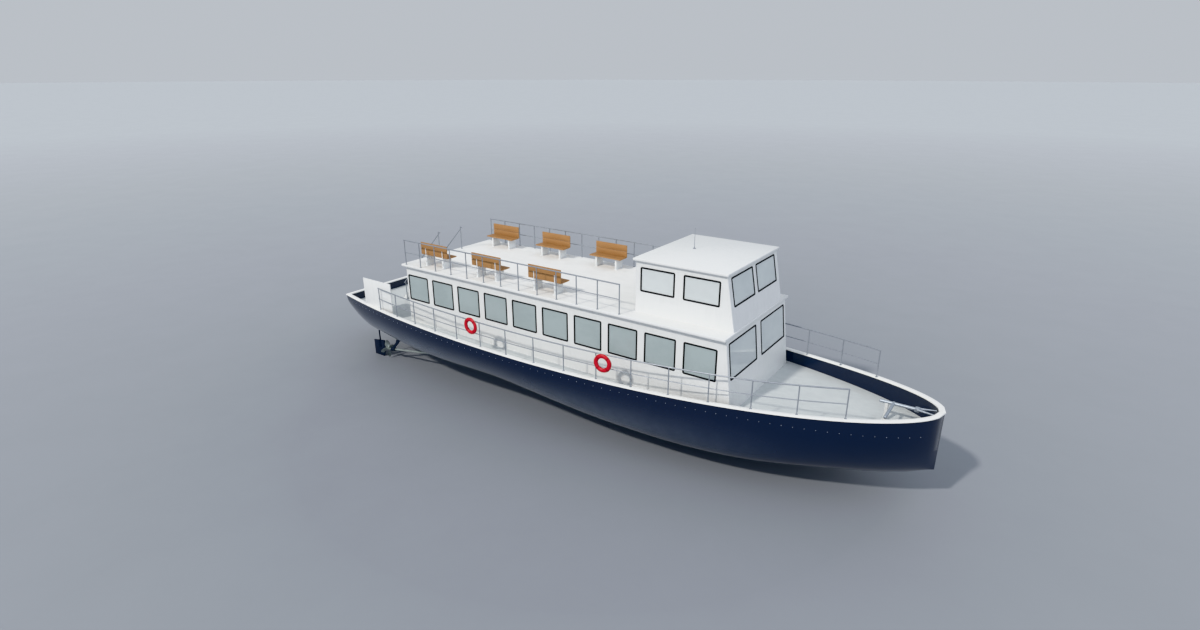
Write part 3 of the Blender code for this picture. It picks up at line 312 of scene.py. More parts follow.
@dataclass(frozen=True)
class HullEnamel(Finish):
    """Two-pack enamel sprayed on faired steel: deep gloss, with salt streaks and a painted grey
    reflection.

    The streaks run down. The painted reflection stands in for the pale floor mirrored in the gloss
    where the hull curves under: more of it low down and aft, and little of it on the transom.
    """

    streak: Triple = (0.14, 0.14, 2.4)
    streak_z: Pair = (0.9, -1.0)
    # painted reflection: a pale grey mixed into the navy low down and aft, standing in for the
    # floor mirrored in the gloss
    bloom: str = "#8a95a4"
    bloom_share: float = 0.9
    bloom_z: Pair = (0.85, -0.65)
    bloom_x: Pair = (9.0, -7.0)
    clean_x: Pair = (-12.85, -12.3)

    def paint(self, brush: Brush) -> Socket:
        """Give the colour, streaked more the lower it lies, under the painted reflection.

        Args:
            brush: the material's tree and patterns.

        Returns:
            The colour.
        """
        down = brush.ramp(brush.axis(2), self.streak_z, (0.25, 1.0))
        runs = brush.product(brush.noise(self.streak, 3.0), down)
        streaked_navy = self.blend(brush, runs, (0.25, 0.75))
        # mix in the painted reflection of the floor
        return brush.mix(self.bloomed(brush), streaked_navy, linear(self.bloom))

    def bloomed(self, brush: Brush) -> Socket:
        """Give how much painted reflection lies at a point: by its height, its length and the
        cloud.

        Args:
            brush: the material's tree and patterns.

        Returns:
            The share of the bloom.
        """
        down = brush.ramp(brush.axis(2), self.bloom_z, (0.0, self.bloom_share), "SMOOTHSTEP")
        aft = brush.ramp(brush.axis(0), self.bloom_x, (0.08, 1.0))
        # less painted reflection on the transom
        clear = brush.ramp(brush.axis(0), self.clean_x, (0.1, 1.0))
        patchy = brush.ramp(brush.cloud, self.cloud_span, (0.8, 1.1))
        return brush.product(brush.product(down, brush.product(aft, clear)), patchy)


@dataclass(frozen=True)
class SprayedWhite(Finish):
    """Sprayed white topside paint on welded plate: satin, with faint rain marks."""

    marks: Triple = (0.09, 0.09, 1.1)

    def paint(self, brush: Brush) -> Socket:
        """Give the colour, with marks that run down where the patches are dark."""
        runs = brush.product(brush.noise(self.marks, 3.0), brush.cloud)
        return self.blend(brush, runs, (0.22, 0.42))


@dataclass(frozen=True)
class DeckGrit(Finish):
    """Deck paint with grit rolled in: matt and pebbled. The grit is drawn five times coarse."""

    pebble: float = 0.02

    def relief(self, brush: Brush) -> Socket:
        """Give round grains a set distance apart."""
        return brush.cells(self.pebble, 0)


@dataclass(frozen=True)
class OiledTeak(Finish):
    """Oiled teak planks: long dark grain along the plank, with a dull sheen."""

    rings: float = 0.03
    along: float = 1.2

    def paint(self, brush: Brush) -> Socket:
        """Give the colour, in lines along X that wander.

        Args:
            brush: the material's tree and patterns.

        Returns:
            The colour.
        """
        scale = (self.along, 1 / self.rings, 1 / self.rings)
        spread = brush.add("ShaderNodeMapping", {"Vector": brush.place, "Scale": scale})
        wander = {"Vector": spread, "Scale": 1.0, "Distortion": 3.0, "Detail": 3.0}
        settings = {"wave_type": "BANDS", "bands_direction": "Z"}
        lines = brush.add("ShaderNodeTexWave", wander, settings, 1)
        return self.blend(brush, brush.product(lines, brush.cloud), (0.1, 0.6))


@dataclass(frozen=True)
class Galvanised(Finish):
    """Hot-dipped zinc: dull grey with crystal patches, drawn about twice their real size."""

    spangle: float = 0.03

    def paint(self, brush: Brush) -> Socket:
        """Give the colour, one tone to each crystal."""
        tone = brush.axis(0, brush.cells(self.spangle, "Color"))
        return self.blend(brush, tone, (0.0, 1.0))


@dataclass(frozen=True)
class FloorPaint(Finish):
    """Matt studio floor paint, painted paler with distance from the boat: a painted fall-off of
    light that blends it into the sky's colour at the horizon.
    """

    far: str = "#bbc0c5"
    fade: Pair = (12.0, 160.0)
    ease: float = 0.6

    def paint(self, brush: Brush) -> Socket:
        """Give the colour, painted paler away from the boat.

        Args:
            brush: the material's tree and patterns.

        Returns:
            The colour.
        """
        settings = {"operation": "LENGTH"}
        away = brush.add("ShaderNodeVectorMath", {0: brush.place}, settings, "Value")
        # painted light: the floor is painted paler the further it lies from the boat
        part = {0: brush.ramp(away, self.fade), 1: self.ease}
        share = brush.add("ShaderNodeMath", part, {"operation": "POWER"})
        return brush.mix(share, super().paint(brush), linear(self.far))


NAVY = HullEnamel(
    "navy_hull_enamel", "#051633", "#142546", 0.20, coat=0.7, contrast=0.3,
    grain=(0.05, 0.05, 0.05), depth=0.0003,
)  # fmt: skip
GEAR_NAVY = Finish(
    "navy_underwater_paint", "#0a172c", "#16243e", 0.4,
    patch=(0.2, 0.2, 0.2), grain=(0.01, 0.01, 0.01), depth=0.0004,
)  # fmt: skip
WHITE = SprayedWhite(
    "white_topside_paint", "#e1e3e3", "#cfd3d3", 0.42, contrast=0.28,
    patch=(0.9, 0.9, 0.5), grain=(0.03, 0.03, 0.03), depth=0.0003,
)  # fmt: skip
CREAM = SprayedWhite(
    "cap_rail_gloss_white", "#e9eae9", "#d6d7d5", 0.35, contrast=0.4,
    patch=(0.5, 0.5, 0.2), marks=(0.12, 0.12, 0.3), grain=(0.02, 0.02, 0.02),
)  # fmt: skip
DECK = DeckGrit(
    "non_slip_deck_paint", "#c9cecf", "#babfc1", 0.75,
    patch=(0.6, 0.35, 0.4), contrast=0.45, depth=0.0010,
)  # fmt: skip
ROOF = DeckGrit(
    "non_slip_white_deck_paint", "#e7e8e7", "#d9dbda", 0.7,
    patch=(0.8, 0.5, 0.4), contrast=0.4, depth=0.0008,
)  # fmt: skip
GLASS = Finish(
    "tempered_window_glass", "#bfccce", "#b0bec0", 0.05, alpha=0.70, contrast=0.6,
    patch=(1.4, 1.4, 0.9), grain=(0.3, 0.3, 0.3), depth=0.0002, uneven=0.02,
)  # fmt: skip
# painted light: a paler copy of the window glass, painted lighter for the front panes that stand in
# shade and as painted reflection on the wheelhouse side panes
LIGHTENED_GLASS = replace(
    GLASS, name="clear_window_glass", colour="#e3e9ea", shade="#d4dcde", alpha=0.8
)
RUBBER = Finish(
    "black_window_rubber", "#060708", "#101314", 0.7,
    patch=(0.15, 0.15, 0.15), grain=(0.008, 0.008, 0.008), depth=0.0003,
)  # fmt: skip
STEEL = Finish(
    "satin_stainless_tube", "#a2a8b0", "#8c939c", 0.38, metallic=0.45,
    patch=(0.25, 0.25, 0.25), grain=(0.006, 0.006, 0.05), depth=0.0002, uneven=0.08,
)  # fmt: skip
TEAK = OiledTeak(
    "oiled_teak", "#b1885c", "#8d6742", 0.55, contrast=0.6,
    patch=(0.7, 0.11, 0.11), grain=(0.12, 0.006, 0.006), depth=0.0006,
)  # fmt: skip
LEG = SprayedWhite(
    "powder_coated_white", "#dfe2e3", "#ced3d6", 0.5,
    patch=(0.2, 0.2, 0.2), grain=(0.01, 0.01, 0.01),
)  # fmt: skip
RING = Finish(
    "red_ring_vinyl", "#c4202f", "#a81a28", 0.42, contrast=0.6,
    patch=(0.1, 0.1, 0.1), grain=(0.012, 0.012, 0.012), depth=0.0005,
)  # fmt: skip
STRAP = Finish(
    "red_webbing_strap", "#9c1522", "#861019", 0.7,
    patch=(0.03, 0.03, 0.03), grain=(0.004, 0.004, 0.004), depth=0.0008,
)  # fmt: skip
ROPE = Finish(
    "polyester_grab_line", "#dcd8cc", "#b3ae9e", 0.8,
    patch=(0.02, 0.02, 0.02), grain=(0.006, 0.006, 0.006), depth=0.001,
)  # fmt: skip
ZINC = Galvanised(
    "hot_dipped_zinc", "#b4bcc6", "#98a2ad", 0.45, metallic=0.5, contrast=0.8,
    grain=(0.01, 0.01, 0.01),
)  # fmt: skip
BRONZE = Finish(
    "worn_propeller_metal", "#b4bdba", "#96a09c", 0.36, metallic=0.6,
    patch=(0.1, 0.1, 0.1), contrast=0.8, grain=(0.01, 0.01, 0.01),
)  # fmt: skip
SEAT = Finish(
    "moulded_seat_plastic", "#5d6d7b", "#4b5a68", 0.5,
    patch=(0.3, 0.3, 0.3), grain=(0.004, 0.004, 0.004), depth=0.0004,
)  # fmt: skip
CONSOLE = Finish(
    "textured_console_laminate", "#5a6066", "#474c52", 0.55,
    patch=(0.3, 0.3, 0.3), grain=(0.005, 0.005, 0.005), depth=0.0004,
)  # fmt: skip


def place_piece(
    name: str,
    data: Mesh,
    finish: Finish,
    body: Body = Body.FERRY,
    replaces: Sequence[str] = (),
    angle: float = 35.0,
) -> bpy.types.Object:
    """Turn a mesh into a finished piece that rides on a body.

    Args:
        name: the piece's name.
        data: its mesh, already in place.
        finish: what it is made of.
        body: the body that carries it.
        replaces: the model's nodes that it stands for.
        angle: edges that turn more than this stay sharp, in degrees.

    Returns:
        The piece.
    """
    data.name = name
    data.materials.clear()
    data.materials.append(finish.material())
    data.shade_smooth()
    data.set_sharp_from_angle(angle=math.radians(angle))
    piece = linked(name, data)
    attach(piece, body.value)
    if replaces:
        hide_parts(*replaces)
    LOG.info("%s: %d faces", name, len(data.polygons))
    return piece


def dress(finish: Finish, node: str) -> None:
    """Give a node of the model a finish.

    Args:
        finish: what it is made of.
        node: its name.
    """
    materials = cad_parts[node].data.materials
    materials.clear()
    materials.append(finish.material())


class Form:
    """A mesh in the making, from the few solids that the pieces need."""

    def __init__(self) -> None:
        """Start with no faces."""
        self.mesh = bmesh.new()

    def soften(self, verts: Sequence[bmesh.types.BMVert], width: float) -> None:
        """Round the edges of a solid that was just added.

        Args:
            verts: the solid's corners.
            width: how far the rounding reaches from each edge.
        """
        if width <= 0:
            return
        edges = list(dict.fromkeys(edge for vert in verts for edge in vert.link_edges))
        bmesh.ops.bevel(
            self.mesh, geom=edges, offset=width, segments=2, profile=0.5, affect="EDGES"
        )

    def box(self, low: Point, high: Point, soft: float = 0.0) -> "Form":
        """Add a box between two corners, its edges rounded by soft.

        Args:
            low: one corner.
            high: the opposite corner.
            soft: how far its edges are rounded.

        Returns:
            The form itself.
        """
        size = [abs(b - a) for a, b in zip(low, high)]
        centre = [(a + b) / 2 for a, b in zip(low, high)]
        matrix = Matrix.Translation(centre) @ Matrix.Diagonal((*size, 1.0))
        made = bmesh.ops.create_cube(self.mesh, size=1.0, matrix=matrix)
        self.soften(made["verts"], soft)
        return self

    def prism(
        self,
        outline: Sequence[Pair],
        axis: Axis,
        start: float,
        end: float,
        soft: float = 0.0,
    ) -> "Form":
        """Add an outline drawn out along one axis.

        Args:
            outline: points in the other two axes, in their order.
            axis: the direction.
            start: where it starts.
            end: where it ends.
            soft: how far its edges are rounded.

        Returns:
            The form itself.
        """

        def at(first: float, second: float, along: float) -> Vector:
            """Put a point of the outline at a distance along the axis.

            Args:
                first: its first part.
                second: its second part.
                along: the distance.

            Returns:
                The point.
            """
            parts = [first, second]
            parts.insert(axis.value, along)
            return Vector(parts)

        face = self.mesh.faces.new([self.mesh.verts.new(at(a, b, start)) for a, b in outline])
        made = bmesh.ops.extrude_face_region(self.mesh, geom=[face])["geom"]
        moved = [item for item in made if isinstance(item, bmesh.types.BMVert)]
        bmesh.ops.translate(self.mesh, verts=moved, vec=at(0, 0, end) - at(0, 0, start))
        self.soften([*moved, *face.verts], soft)
        return self

    def rod(
        self, start: Point, end: Point, radius: float, sides: int = 16, tip: float | None = None
    ) -> "Form":
        """Add a round rod, or a taper that ends at the radius tip.

        Args:
            start: the middle of one end.
            end: the middle of the other.
            radius: its radius.
            sides: how many sides it has.
            tip: its radius at the end, if another.

        Returns:
            The form itself.
        """
        start, end = Vector(start), Vector(end)
        along = end - start
        turn = along.to_track_quat("Z", "Y").to_matrix().to_4x4()
        bmesh.ops.create_cone(
            self.mesh,
            cap_ends=True,
            segments=sides,
            radius1=radius,
            radius2=radius if tip is None else tip,
            depth=along.length,
            matrix=Matrix.Translation((start + end) / 2) @ turn,
        )
        return self

    def ball(self, centre: Point, radius: float, scale: Point = (1, 1, 1)) -> "Form":
        """Add a ball, squashed by scale.

        Args:
            centre: its middle.
            radius: its radius.
            scale: how much of that it has along X, Y and Z.

        Returns:
            The form itself.
        """
        matrix = Matrix.Translation(centre) @ Matrix.Diagonal((*scale, 1.0))
        bmesh.ops.create_uvsphere(
            self.mesh, u_segments=14, v_segments=8, radius=radius, matrix=matrix
        )
        return self

    def loft(self, rings: Sequence[Sequence[Point]], closed: bool = False) -> "Form":
        """Join rings of equally many points, and close the ends unless it runs round.

        Args:
            rings: the rings in order.
            closed: whether the last ring joins the first.

        Returns:
            The form itself.
        """
        rows = [[self.mesh.verts.new(point) for point in ring] for ring in rings]
        pairs = list(zip(rows, rows[1:]))
        if closed:
            pairs.append((rows[-1], rows[0]))
        for one, other in pairs:
            for index in range(len(one)):
                after = (index + 1) % len(one)
                self.mesh.faces.new((one[index], one[after], other[after], other[index]))
        if not closed:
            self.mesh.faces.new(rows[0])
            self.mesh.faces.new(rows[-1])
        return self

    def tube(
        self, points: Sequence[Point], radius: float, sides: int = 12, closed: bool = False
    ) -> "Form":
        """Add a round tube along the points, mitred at each.

        Args:
            points: its centreline.
            radius: its radius.
            sides: how many sides it has.
            closed: whether it ends where it starts.

        Returns:
            The form itself.
        """
        path = [Vector(point) for point in points]
        count = len(path)
        rings = []
        for index, point in enumerate(path):
            before = path[index - 1] if index or closed else point
            after = path[(index + 1) % count] if index < count - 1 or closed else point
            come, go = (point - before).normalized(), (after - point).normalized()
            tangent = (come + go).normalized()
            spread = max(tangent.dot(go if go.length else come), 0.4)
            side = tangent.cross(Vector((0, 0, 1)))
            if side.length < 0.1:
                side = tangent.cross(Vector((0, 1, 0)))
            side.normalize()
            up = side.cross(tangent)
            rings.append(
                [point + (side * c / spread + up * s) * radius for c, s in circle(sides)]
            )
        return self.loft(rings, closed)

    def done(self) -> Mesh:
        """Close the work and give a plain mesh with its faces outwards.

        Returns:
            The mesh.
        """
        bmesh.ops.recalc_face_normals(self.mesh, faces=self.mesh.faces)
        data = bpy.data.meshes.new("form")
        self.mesh.to_mesh(data)
        self.mesh.free()
        return data


class Grower(Wiring):
    """A Geometry Nodes tree that makes what repeats, turned into a plain mesh."""

    def __init__(self, name: str, sizes: dict[str, float | int]) -> None:
        """Start a tree with a guide and named sizes.

        Args:
            name: the tree's name.
            sizes: its inputs with their values.
        """
        super().__init__(bpy.data.node_groups.new(name, "GeometryNodeTree"))
        self.sizes = sizes
        face = self.tree.interface
        face.new_socket("Guide", in_out="INPUT", socket_type="NodeSocketGeometry")
        for label, value in sizes.items():
            kind = "NodeSocketInt" if isinstance(value, int) else "NodeSocketFloat"
            face.new_socket(label, in_out="INPUT", socket_type=kind)
        face.new_socket("Made", in_out="OUTPUT", socket_type="NodeSocketGeometry")
        self.inlet = self.tree.nodes.new("NodeGroupInput")

    def size(self, label: str) -> Socket:
        """Give the socket of a named input."""
        return self.inlet.outputs[label]

    def times(self, label: str, factor: float) -> Socket:
        """Give a named input times a number."""
        return self.product(self.size(label), factor)

    def vector(self, x: object = 0.0, y: object = 0.0, z: object = 0.0) -> Socket:
        """Give a vector of numbers or sockets."""
        return self.add("ShaderNodeCombineXYZ", {0: x, 1: y, 2: z})

    def on_points(self, points: Socket, thing: Socket) -> Socket:
        """Put a copy of the thing on each point."""
        return self.add("GeometryNodeInstanceOnPoints", {"Points": points, "Instance": thing})

    def grow(self, made: Socket, finish: Finish, guide: Mesh | None = None) -> Mesh:
        """End the tree, run it and give its result as a plain mesh.

        Args:
            made: what the tree has made.
            finish: the finish that it sets.
            guide: the mesh that it follows.

        Returns:
            The mesh.
        """
        real = self.add("GeometryNodeRealizeInstances", {0: made})
        dressed = self.add("GeometryNodeSetMaterial", {0: real, "Material": finish.material()})
        add_node(self.tree, "NodeGroupOutput", inputs={0: dressed})
        holder = linked(self.tree.name, guide or bpy.data.meshes.new(self.tree.name))
        modifier = holder.modifiers.new("Grow", "NODES")
        modifier.node_group = self.tree
        for item in self.tree.interface.items_tree:
            if item.in_out == "INPUT" and item.name in self.sizes:
                modifier[item.identifier] = self.sizes[item.name]
        graph = bpy.context.evaluated_depsgraph_get()
        result = bpy.data.meshes.new_from_object(holder.evaluated_get(graph))
        holder.modifiers.remove(modifier)
        bpy.data.objects.remove(holder)
        return result


def points_mesh(points: Sequence[Point], joined: bool = False) -> Mesh:
    """Make a guide of loose points, or of one line through them.

    Args:
        points: where they are.
        joined: whether edges join them in order.

    Returns:
        The guide.
    """
    guide = bpy.data.meshes.new("guide")
    edges = [(index, index + 1) for index in range(len(points) - 1)] if joined else []
    guide.from_pydata([tuple(point) for point in points], edges, [])
    return guide


@dataclass(frozen=True)
class HullLines:
    """The hull's form as formulas, the same ones that its solid was made from."""

    bow_x: float = 12.86
    transom_x: float = -12.86
    widest_x: float = -1.61
    half_beam: float = 3.75
    transom_narrowing: float = 0.31
    aft_power: float = 2.2
    bow_power: float = 1.84
    bow_roundness: float = 0.535
    sheer_z: float = 1.10
    bow_rise: float = 0.39
    keel: tuple[Triple, ...] = (
        # x, keel height, fullness of the section (2 is an ellipse, more is boxier)
        (-12.86, -0.54, 2.0),
        (-11.30, -0.58, 3.4),
        (-10.00, -0.59, 3.6),
        (-8.00, -0.77, 3.4),
        (-3.00, -1.09, 2.3),
        (3.00, -1.34, 3.0),
        (7.00, -1.25, 3.6),
        (10.30, -1.02, 2.6),
        (11.90, -0.78, 2.2),
        (12.86, -0.46, 1.9),
    )
    station_count: int = 110
    section_steps: int = 26

    def half_breadth(self, x: float) -> float:
        """Half the hull's width at its top edge.

        Args:
            x: the distance along the hull.

        Returns:
            The half width.
        """
        if x >= self.widest_x:
            along = min((x - self.widest_x) / (self.bow_x - self.widest_x), 1.0)
            return self.half_beam * (1 - along**self.bow_power) ** self.bow_roundness
        along = (self.widest_x - x) / (self.widest_x - self.transom_x)
        return self.half_beam * (1 - self.transom_narrowing * along**self.aft_power)

    def sheer(self, x: float) -> float:
        """Height of the hull's top edge."""
        along = max(x - self.widest_x, 0.0) / (self.bow_x - self.widest_x)
        return self.sheer_z + self.bow_rise * along**3

    def keel_and_fullness(self, x: float) -> Pair:
        """Keel height and section fullness, smoothly between the table's rows.

        Args:
            x: the distance along the hull.

        Returns:
            The height and the fullness.
        """
        table = self.keel
        index = 0
        while index < len(table) - 2 and x > table[index + 1][0]:
            index += 1
        before, low = table[max(index - 1, 0)], table[index]
        high, after = table[index + 1], table[min(index + 2, len(table) - 1)]
        span = high[0] - low[0]
        part = min(max((x - low[0]) / span, 0.0), 1.0)
        found = []
        for column in (1, 2):
            slope_low = (high[column] - before[column]) / (high[0] - before[0])
            slope_high = (after[column] - low[column]) / (after[0] - low[0])
            found.append(
                (2 * part**3 - 3 * part**2 + 1) * low[column]
                + (part**3 - 2 * part**2 + part) * span * slope_low
                + (3 * part**2 - 2 * part**3) * high[column]
                + (part**3 - part**2) * span * slope_high
            )
        return found[0], found[1]

    def side_y(self, x: float, z: float) -> float:
        """Half the hull's width at this height.

        Args:
            x: the distance along the hull.
            z: the height.

        Returns:
            The half width.
        """
        keel, fullness = self.keel_and_fullness(x)
        down = min((self.sheer(x) - z) / (self.sheer(x) - keel), 1.0)
        return self.half_breadth(x) * (1 - down**fullness) ** (1 / fullness)

    def stations(self) -> list[float]:
        """Distances along the hull, closer together towards the bow.

        Returns:
            The distances, from the stern.
        """
        found = []
        for index in range(self.station_count + 1):
            part = index / self.station_count
            eased = 0.45 * part + 0.55 * math.sin(part * math.pi / 2)
            found.append(self.transom_x + (self.bow_x - self.transom_x) * eased)
        return found

    def section(self, x: float) -> list[Vector]:
        """Points of one section, from the starboard edge round the keel to port.

        Args:
            x: the distance along the hull.

        Returns:
            The points.
        """
        keel, fullness = self.keel_and_fullness(x)
        top, width = self.sheer(x), self.half_breadth(x)
        half = []
        for index in range(self.section_steps + 1):
            angle = math.pi / 2 * index / self.section_steps
            across = width * max(math.cos(angle), 0.0) ** (2 / fullness)
            down = (top - keel) * math.sin(angle) ** (2 / fullness)
            half.append(Vector((x, -across, top - down)))
        return half + [Vector((x, -point.y, point.z)) for point in reversed(half[:-1])]

    def inset(self, inset: float) -> list[Pair]:
        """Points of the port half of the plan, inset square to its edge, from stern to bow.

        Args:
            inset: how far inside the edge.

        Returns:
            The points.
        """
        step = 0.01
        found = []
        for x in self.stations()[1:-1]:
            slope = (self.half_breadth(x + step) - self.half_breadth(x)) / step
            length = math.hypot(1.0, slope)
            found.append((x + slope * inset / length, self.half_breadth(x) - inset / length))
        aft = self.transom_x + inset
        found = [(x, y) for x, y in found if x > aft + 0.02]
        (first_x, first_y), (second_x, second_y) = found[0], found[4]
        corner = first_y - (second_y - first_y) / (second_x - first_x) * (first_x - aft)
        return [(aft, corner), *found, (self.bow_x - inset, 0.0)]

    def outline(self, inset: float) -> list[Pair]:
        """The whole plan, forward along the starboard side and back along the port side."""
        half = self.inset(inset)
        return [(x, -y) for x, y in half] + list(reversed(half[:-1]))


@dataclass(frozen=True)
class Hull:
    """Hull, bulwark, deck and cap rail, with the bolts of the deck edge and the screens."""

    lines: HullLines
    bulwark: float = 0.12
    deck_z: float = 0.71
    deck_top: float = 0.74
    cap_overhang: float = 0.03
    cap_width: float = 0.19
    cap_height: float = 0.045
    cap_round: float = 0.014
    bolt_z: float = 0.90
    bolt_pitch: float = 0.34
    bolt_radius: float = 0.013
    screen_x: Pair = (-10.87, -9.00)
    screen_y: float = 2.965
    screen_z: Pair = (0.77, 2.40)
    screen_thickness: float = 0.04
    stiffener_x: float = 0.45
    stiffener: Pair = (0.03, 0.012)
    skin_nodes: tuple[str, ...] = (
        "hull", "bulwark_aft", "bulwark_starboard", "bulwark_port", "bulwark_bow",
    )  # fmt: skip

    def build(self) -> None:
        """Make all its pieces."""
        self.skin()
        self.cap()
        self.deck()
        self.bolts()
        self.screens()

    def skin(self) -> None:
        """Make the outer form and the bulwark's inner face as one closed shell."""
        mesh = bmesh.new()
        rows = [
            [mesh.verts.new(point) for point in self.lines.section(x)]
            for x in self.lines.stations()
        ]
        for one, other in zip(rows, rows[1:]):
            for index in range(len(one) - 1):
                mesh.faces.new((one[index], one[index + 1], other[index + 1], other[index]))
        mesh.faces.new(rows[0])
        sheer = [row[0] for row in rows] + [row[-1] for row in reversed(rows[:-1])]
        low_ring, high_ring = [], []
        for vert in sheer:
            x, y = self.inner_point(vert.co)
            high_ring.append(mesh.verts.new((x, y, vert.co.z)))
            low_ring.append(mesh.verts.new((x, y, self.deck_z)))
        count = len(sheer)
        for index in range(count):
            after = (index + 1) % count
            mesh.faces.new((sheer[index], high_ring[index], high_ring[after], sheer[after]))
            mesh.faces.new((high_ring[index], low_ring[index], low_ring[after], high_ring[after]))
        mesh.faces.new(low_ring)
        bmesh.ops.remove_doubles(mesh, verts=mesh.verts, dist=0.0002)
        bmesh.ops.dissolve_degenerate(mesh, edges=mesh.edges, dist=0.0001)
        form = Form()
        form.mesh.free()
        form.mesh = mesh
        place_piece("hull_skin", form.done(), NAVY, Body.FERRY, self.skin_nodes, 40)

    def inner_point(self, edge: Vector) -> Pair:
        """Give the point of the bulwark's inner face that faces a point of the top edge.

        Args:
            edge: the point of the top edge.

        Returns:
            Its X and Y.
        """
        step = 0.01
        x = edge.x
        if x > self.lines.bow_x - 0.001:
            return self.lines.bow_x - self.bulwark, 0.0
        slope = (self.lines.half_breadth(x + step) - self.lines.half_breadth(x)) / step
        length = math.hypot(1.0, slope)
        inner_x = max(x + slope * self.bulwark / length, self.lines.transom_x + self.bulwark)
        inner_x = min(inner_x, self.lines.bow_x - self.bulwark)
        inner_y = max(abs(edge.y) - self.bulwark / length, 0.0)
        return inner_x, math.copysign(inner_y, edge.y)

    def cap(self) -> None:
        """Make the rounded cap rail round the whole top edge."""
        outer = self.lines.inset(-self.cap_overhang)
        inner = self.lines.inset(self.cap_width - self.cap_overhang)
        while len(outer) > len(inner):
            outer.pop(1)
        soft = self.cap_round
        across = soft / self.cap_width
        profile = (
            # share of the width from the outer edge, height
            (0.0, 0.0),
            (0.0, self.cap_height - soft),
            (across * 0.3, self.cap_height - soft * 0.3),
            (across, self.cap_height),
            (1 - across, self.cap_height),
            (1 - across * 0.3, self.cap_height - soft * 0.3),
            (1.0, self.cap_height - soft),
            (1.0, 0.0),
        )
        half = []
        for (outer_x, outer_y), (inner_x, inner_y) in zip(outer, inner):
            ring = []
            for share, height in profile:
                x = outer_x + (inner_x - outer_x) * share
                y = outer_y + (inner_y - outer_y) * share
                ring.append(Vector((x, y, self.lines.sheer(x) + height)))
            half.append(ring)
        other = [[Vector((p.x, -p.y, p.z)) for p in ring] for ring in reversed(half[:-1])]
        data = Form().loft(half + other, closed=True).done()
        nodes = ("cap_rail_starboard", "cap_rail_port")
        place_piece("cap_rail", data, CREAM, replaces=nodes)

    def deck(self) -> None:
        """Make the deck plate, let a little into the bulwark all round."""
        outline = self.lines.outline(self.bulwark - 0.01)
        data = Form().prism(outline, Axis.Z, self.deck_z, self.deck_top).done()
        place_piece("deck_plate", data, DECK, replaces=("main_deck",))

    def bolts(self) -> None:
        """Grow the small bolt heads that hold the deck's edge, along both sides."""
        for side in Side:
            z = self.bolt_z
            path = []
            for x in self.lines.stations()[2:-4]:
                path.append((x, side.value * (self.lines.side_y(x, z) + 0.002), z))
            grower = Grower(
                "DeckEdgeBolts", {"Spacing": self.bolt_pitch, "Head Radius": self.bolt_radius}
            )
            line = grower.add("GeometryNodeMeshToCurve", {0: grower.size("Guide")})
            spaced = grower.add(
                "GeometryNodeResampleCurve",
                {"Curve": line, "Length": grower.size("Spacing")},
                {"mode": "LENGTH"},
            )
            head = grower.add(
                "GeometryNodeMeshUVSphere",
                {"Segments": 10, "Rings": 6, "Radius": grower.size("Head Radius")},
            )
            data = grower.grow(grower.on_points(spaced, head), ZINC, points_mesh(path, True))
            place_piece(f"deck_edge_bolts_{side.label}", data, ZINC)

    def screens(self) -> None:
        """Make the boarding screens, each a panel with a rolled edge and two stiffeners."""
        low_x, high_x = self.screen_x
        low_z, high_z = self.screen_z
        half = self.screen_thickness / 2
        for side in Side:
            y = side.value * self.screen_y
            form = Form().box((low_x, y - half, low_z), (high_x, y + half, high_z), 0.012)
            wide, deep = self.stiffener
            near, far = sorted((y - side.value * (half + deep), y))
            for x in (low_x + self.stiffener_x, high_x - self.stiffener_x):
                form.box((x - wide, near, self.deck_top), (x + wide, far, high_z - 0.1), 0.006)
            node = f"boarding_screen_{side.label}"
            name = f"quarter_screen_{side.label}"
            place_piece(name, form.done(), WHITE, replaces=(node,))


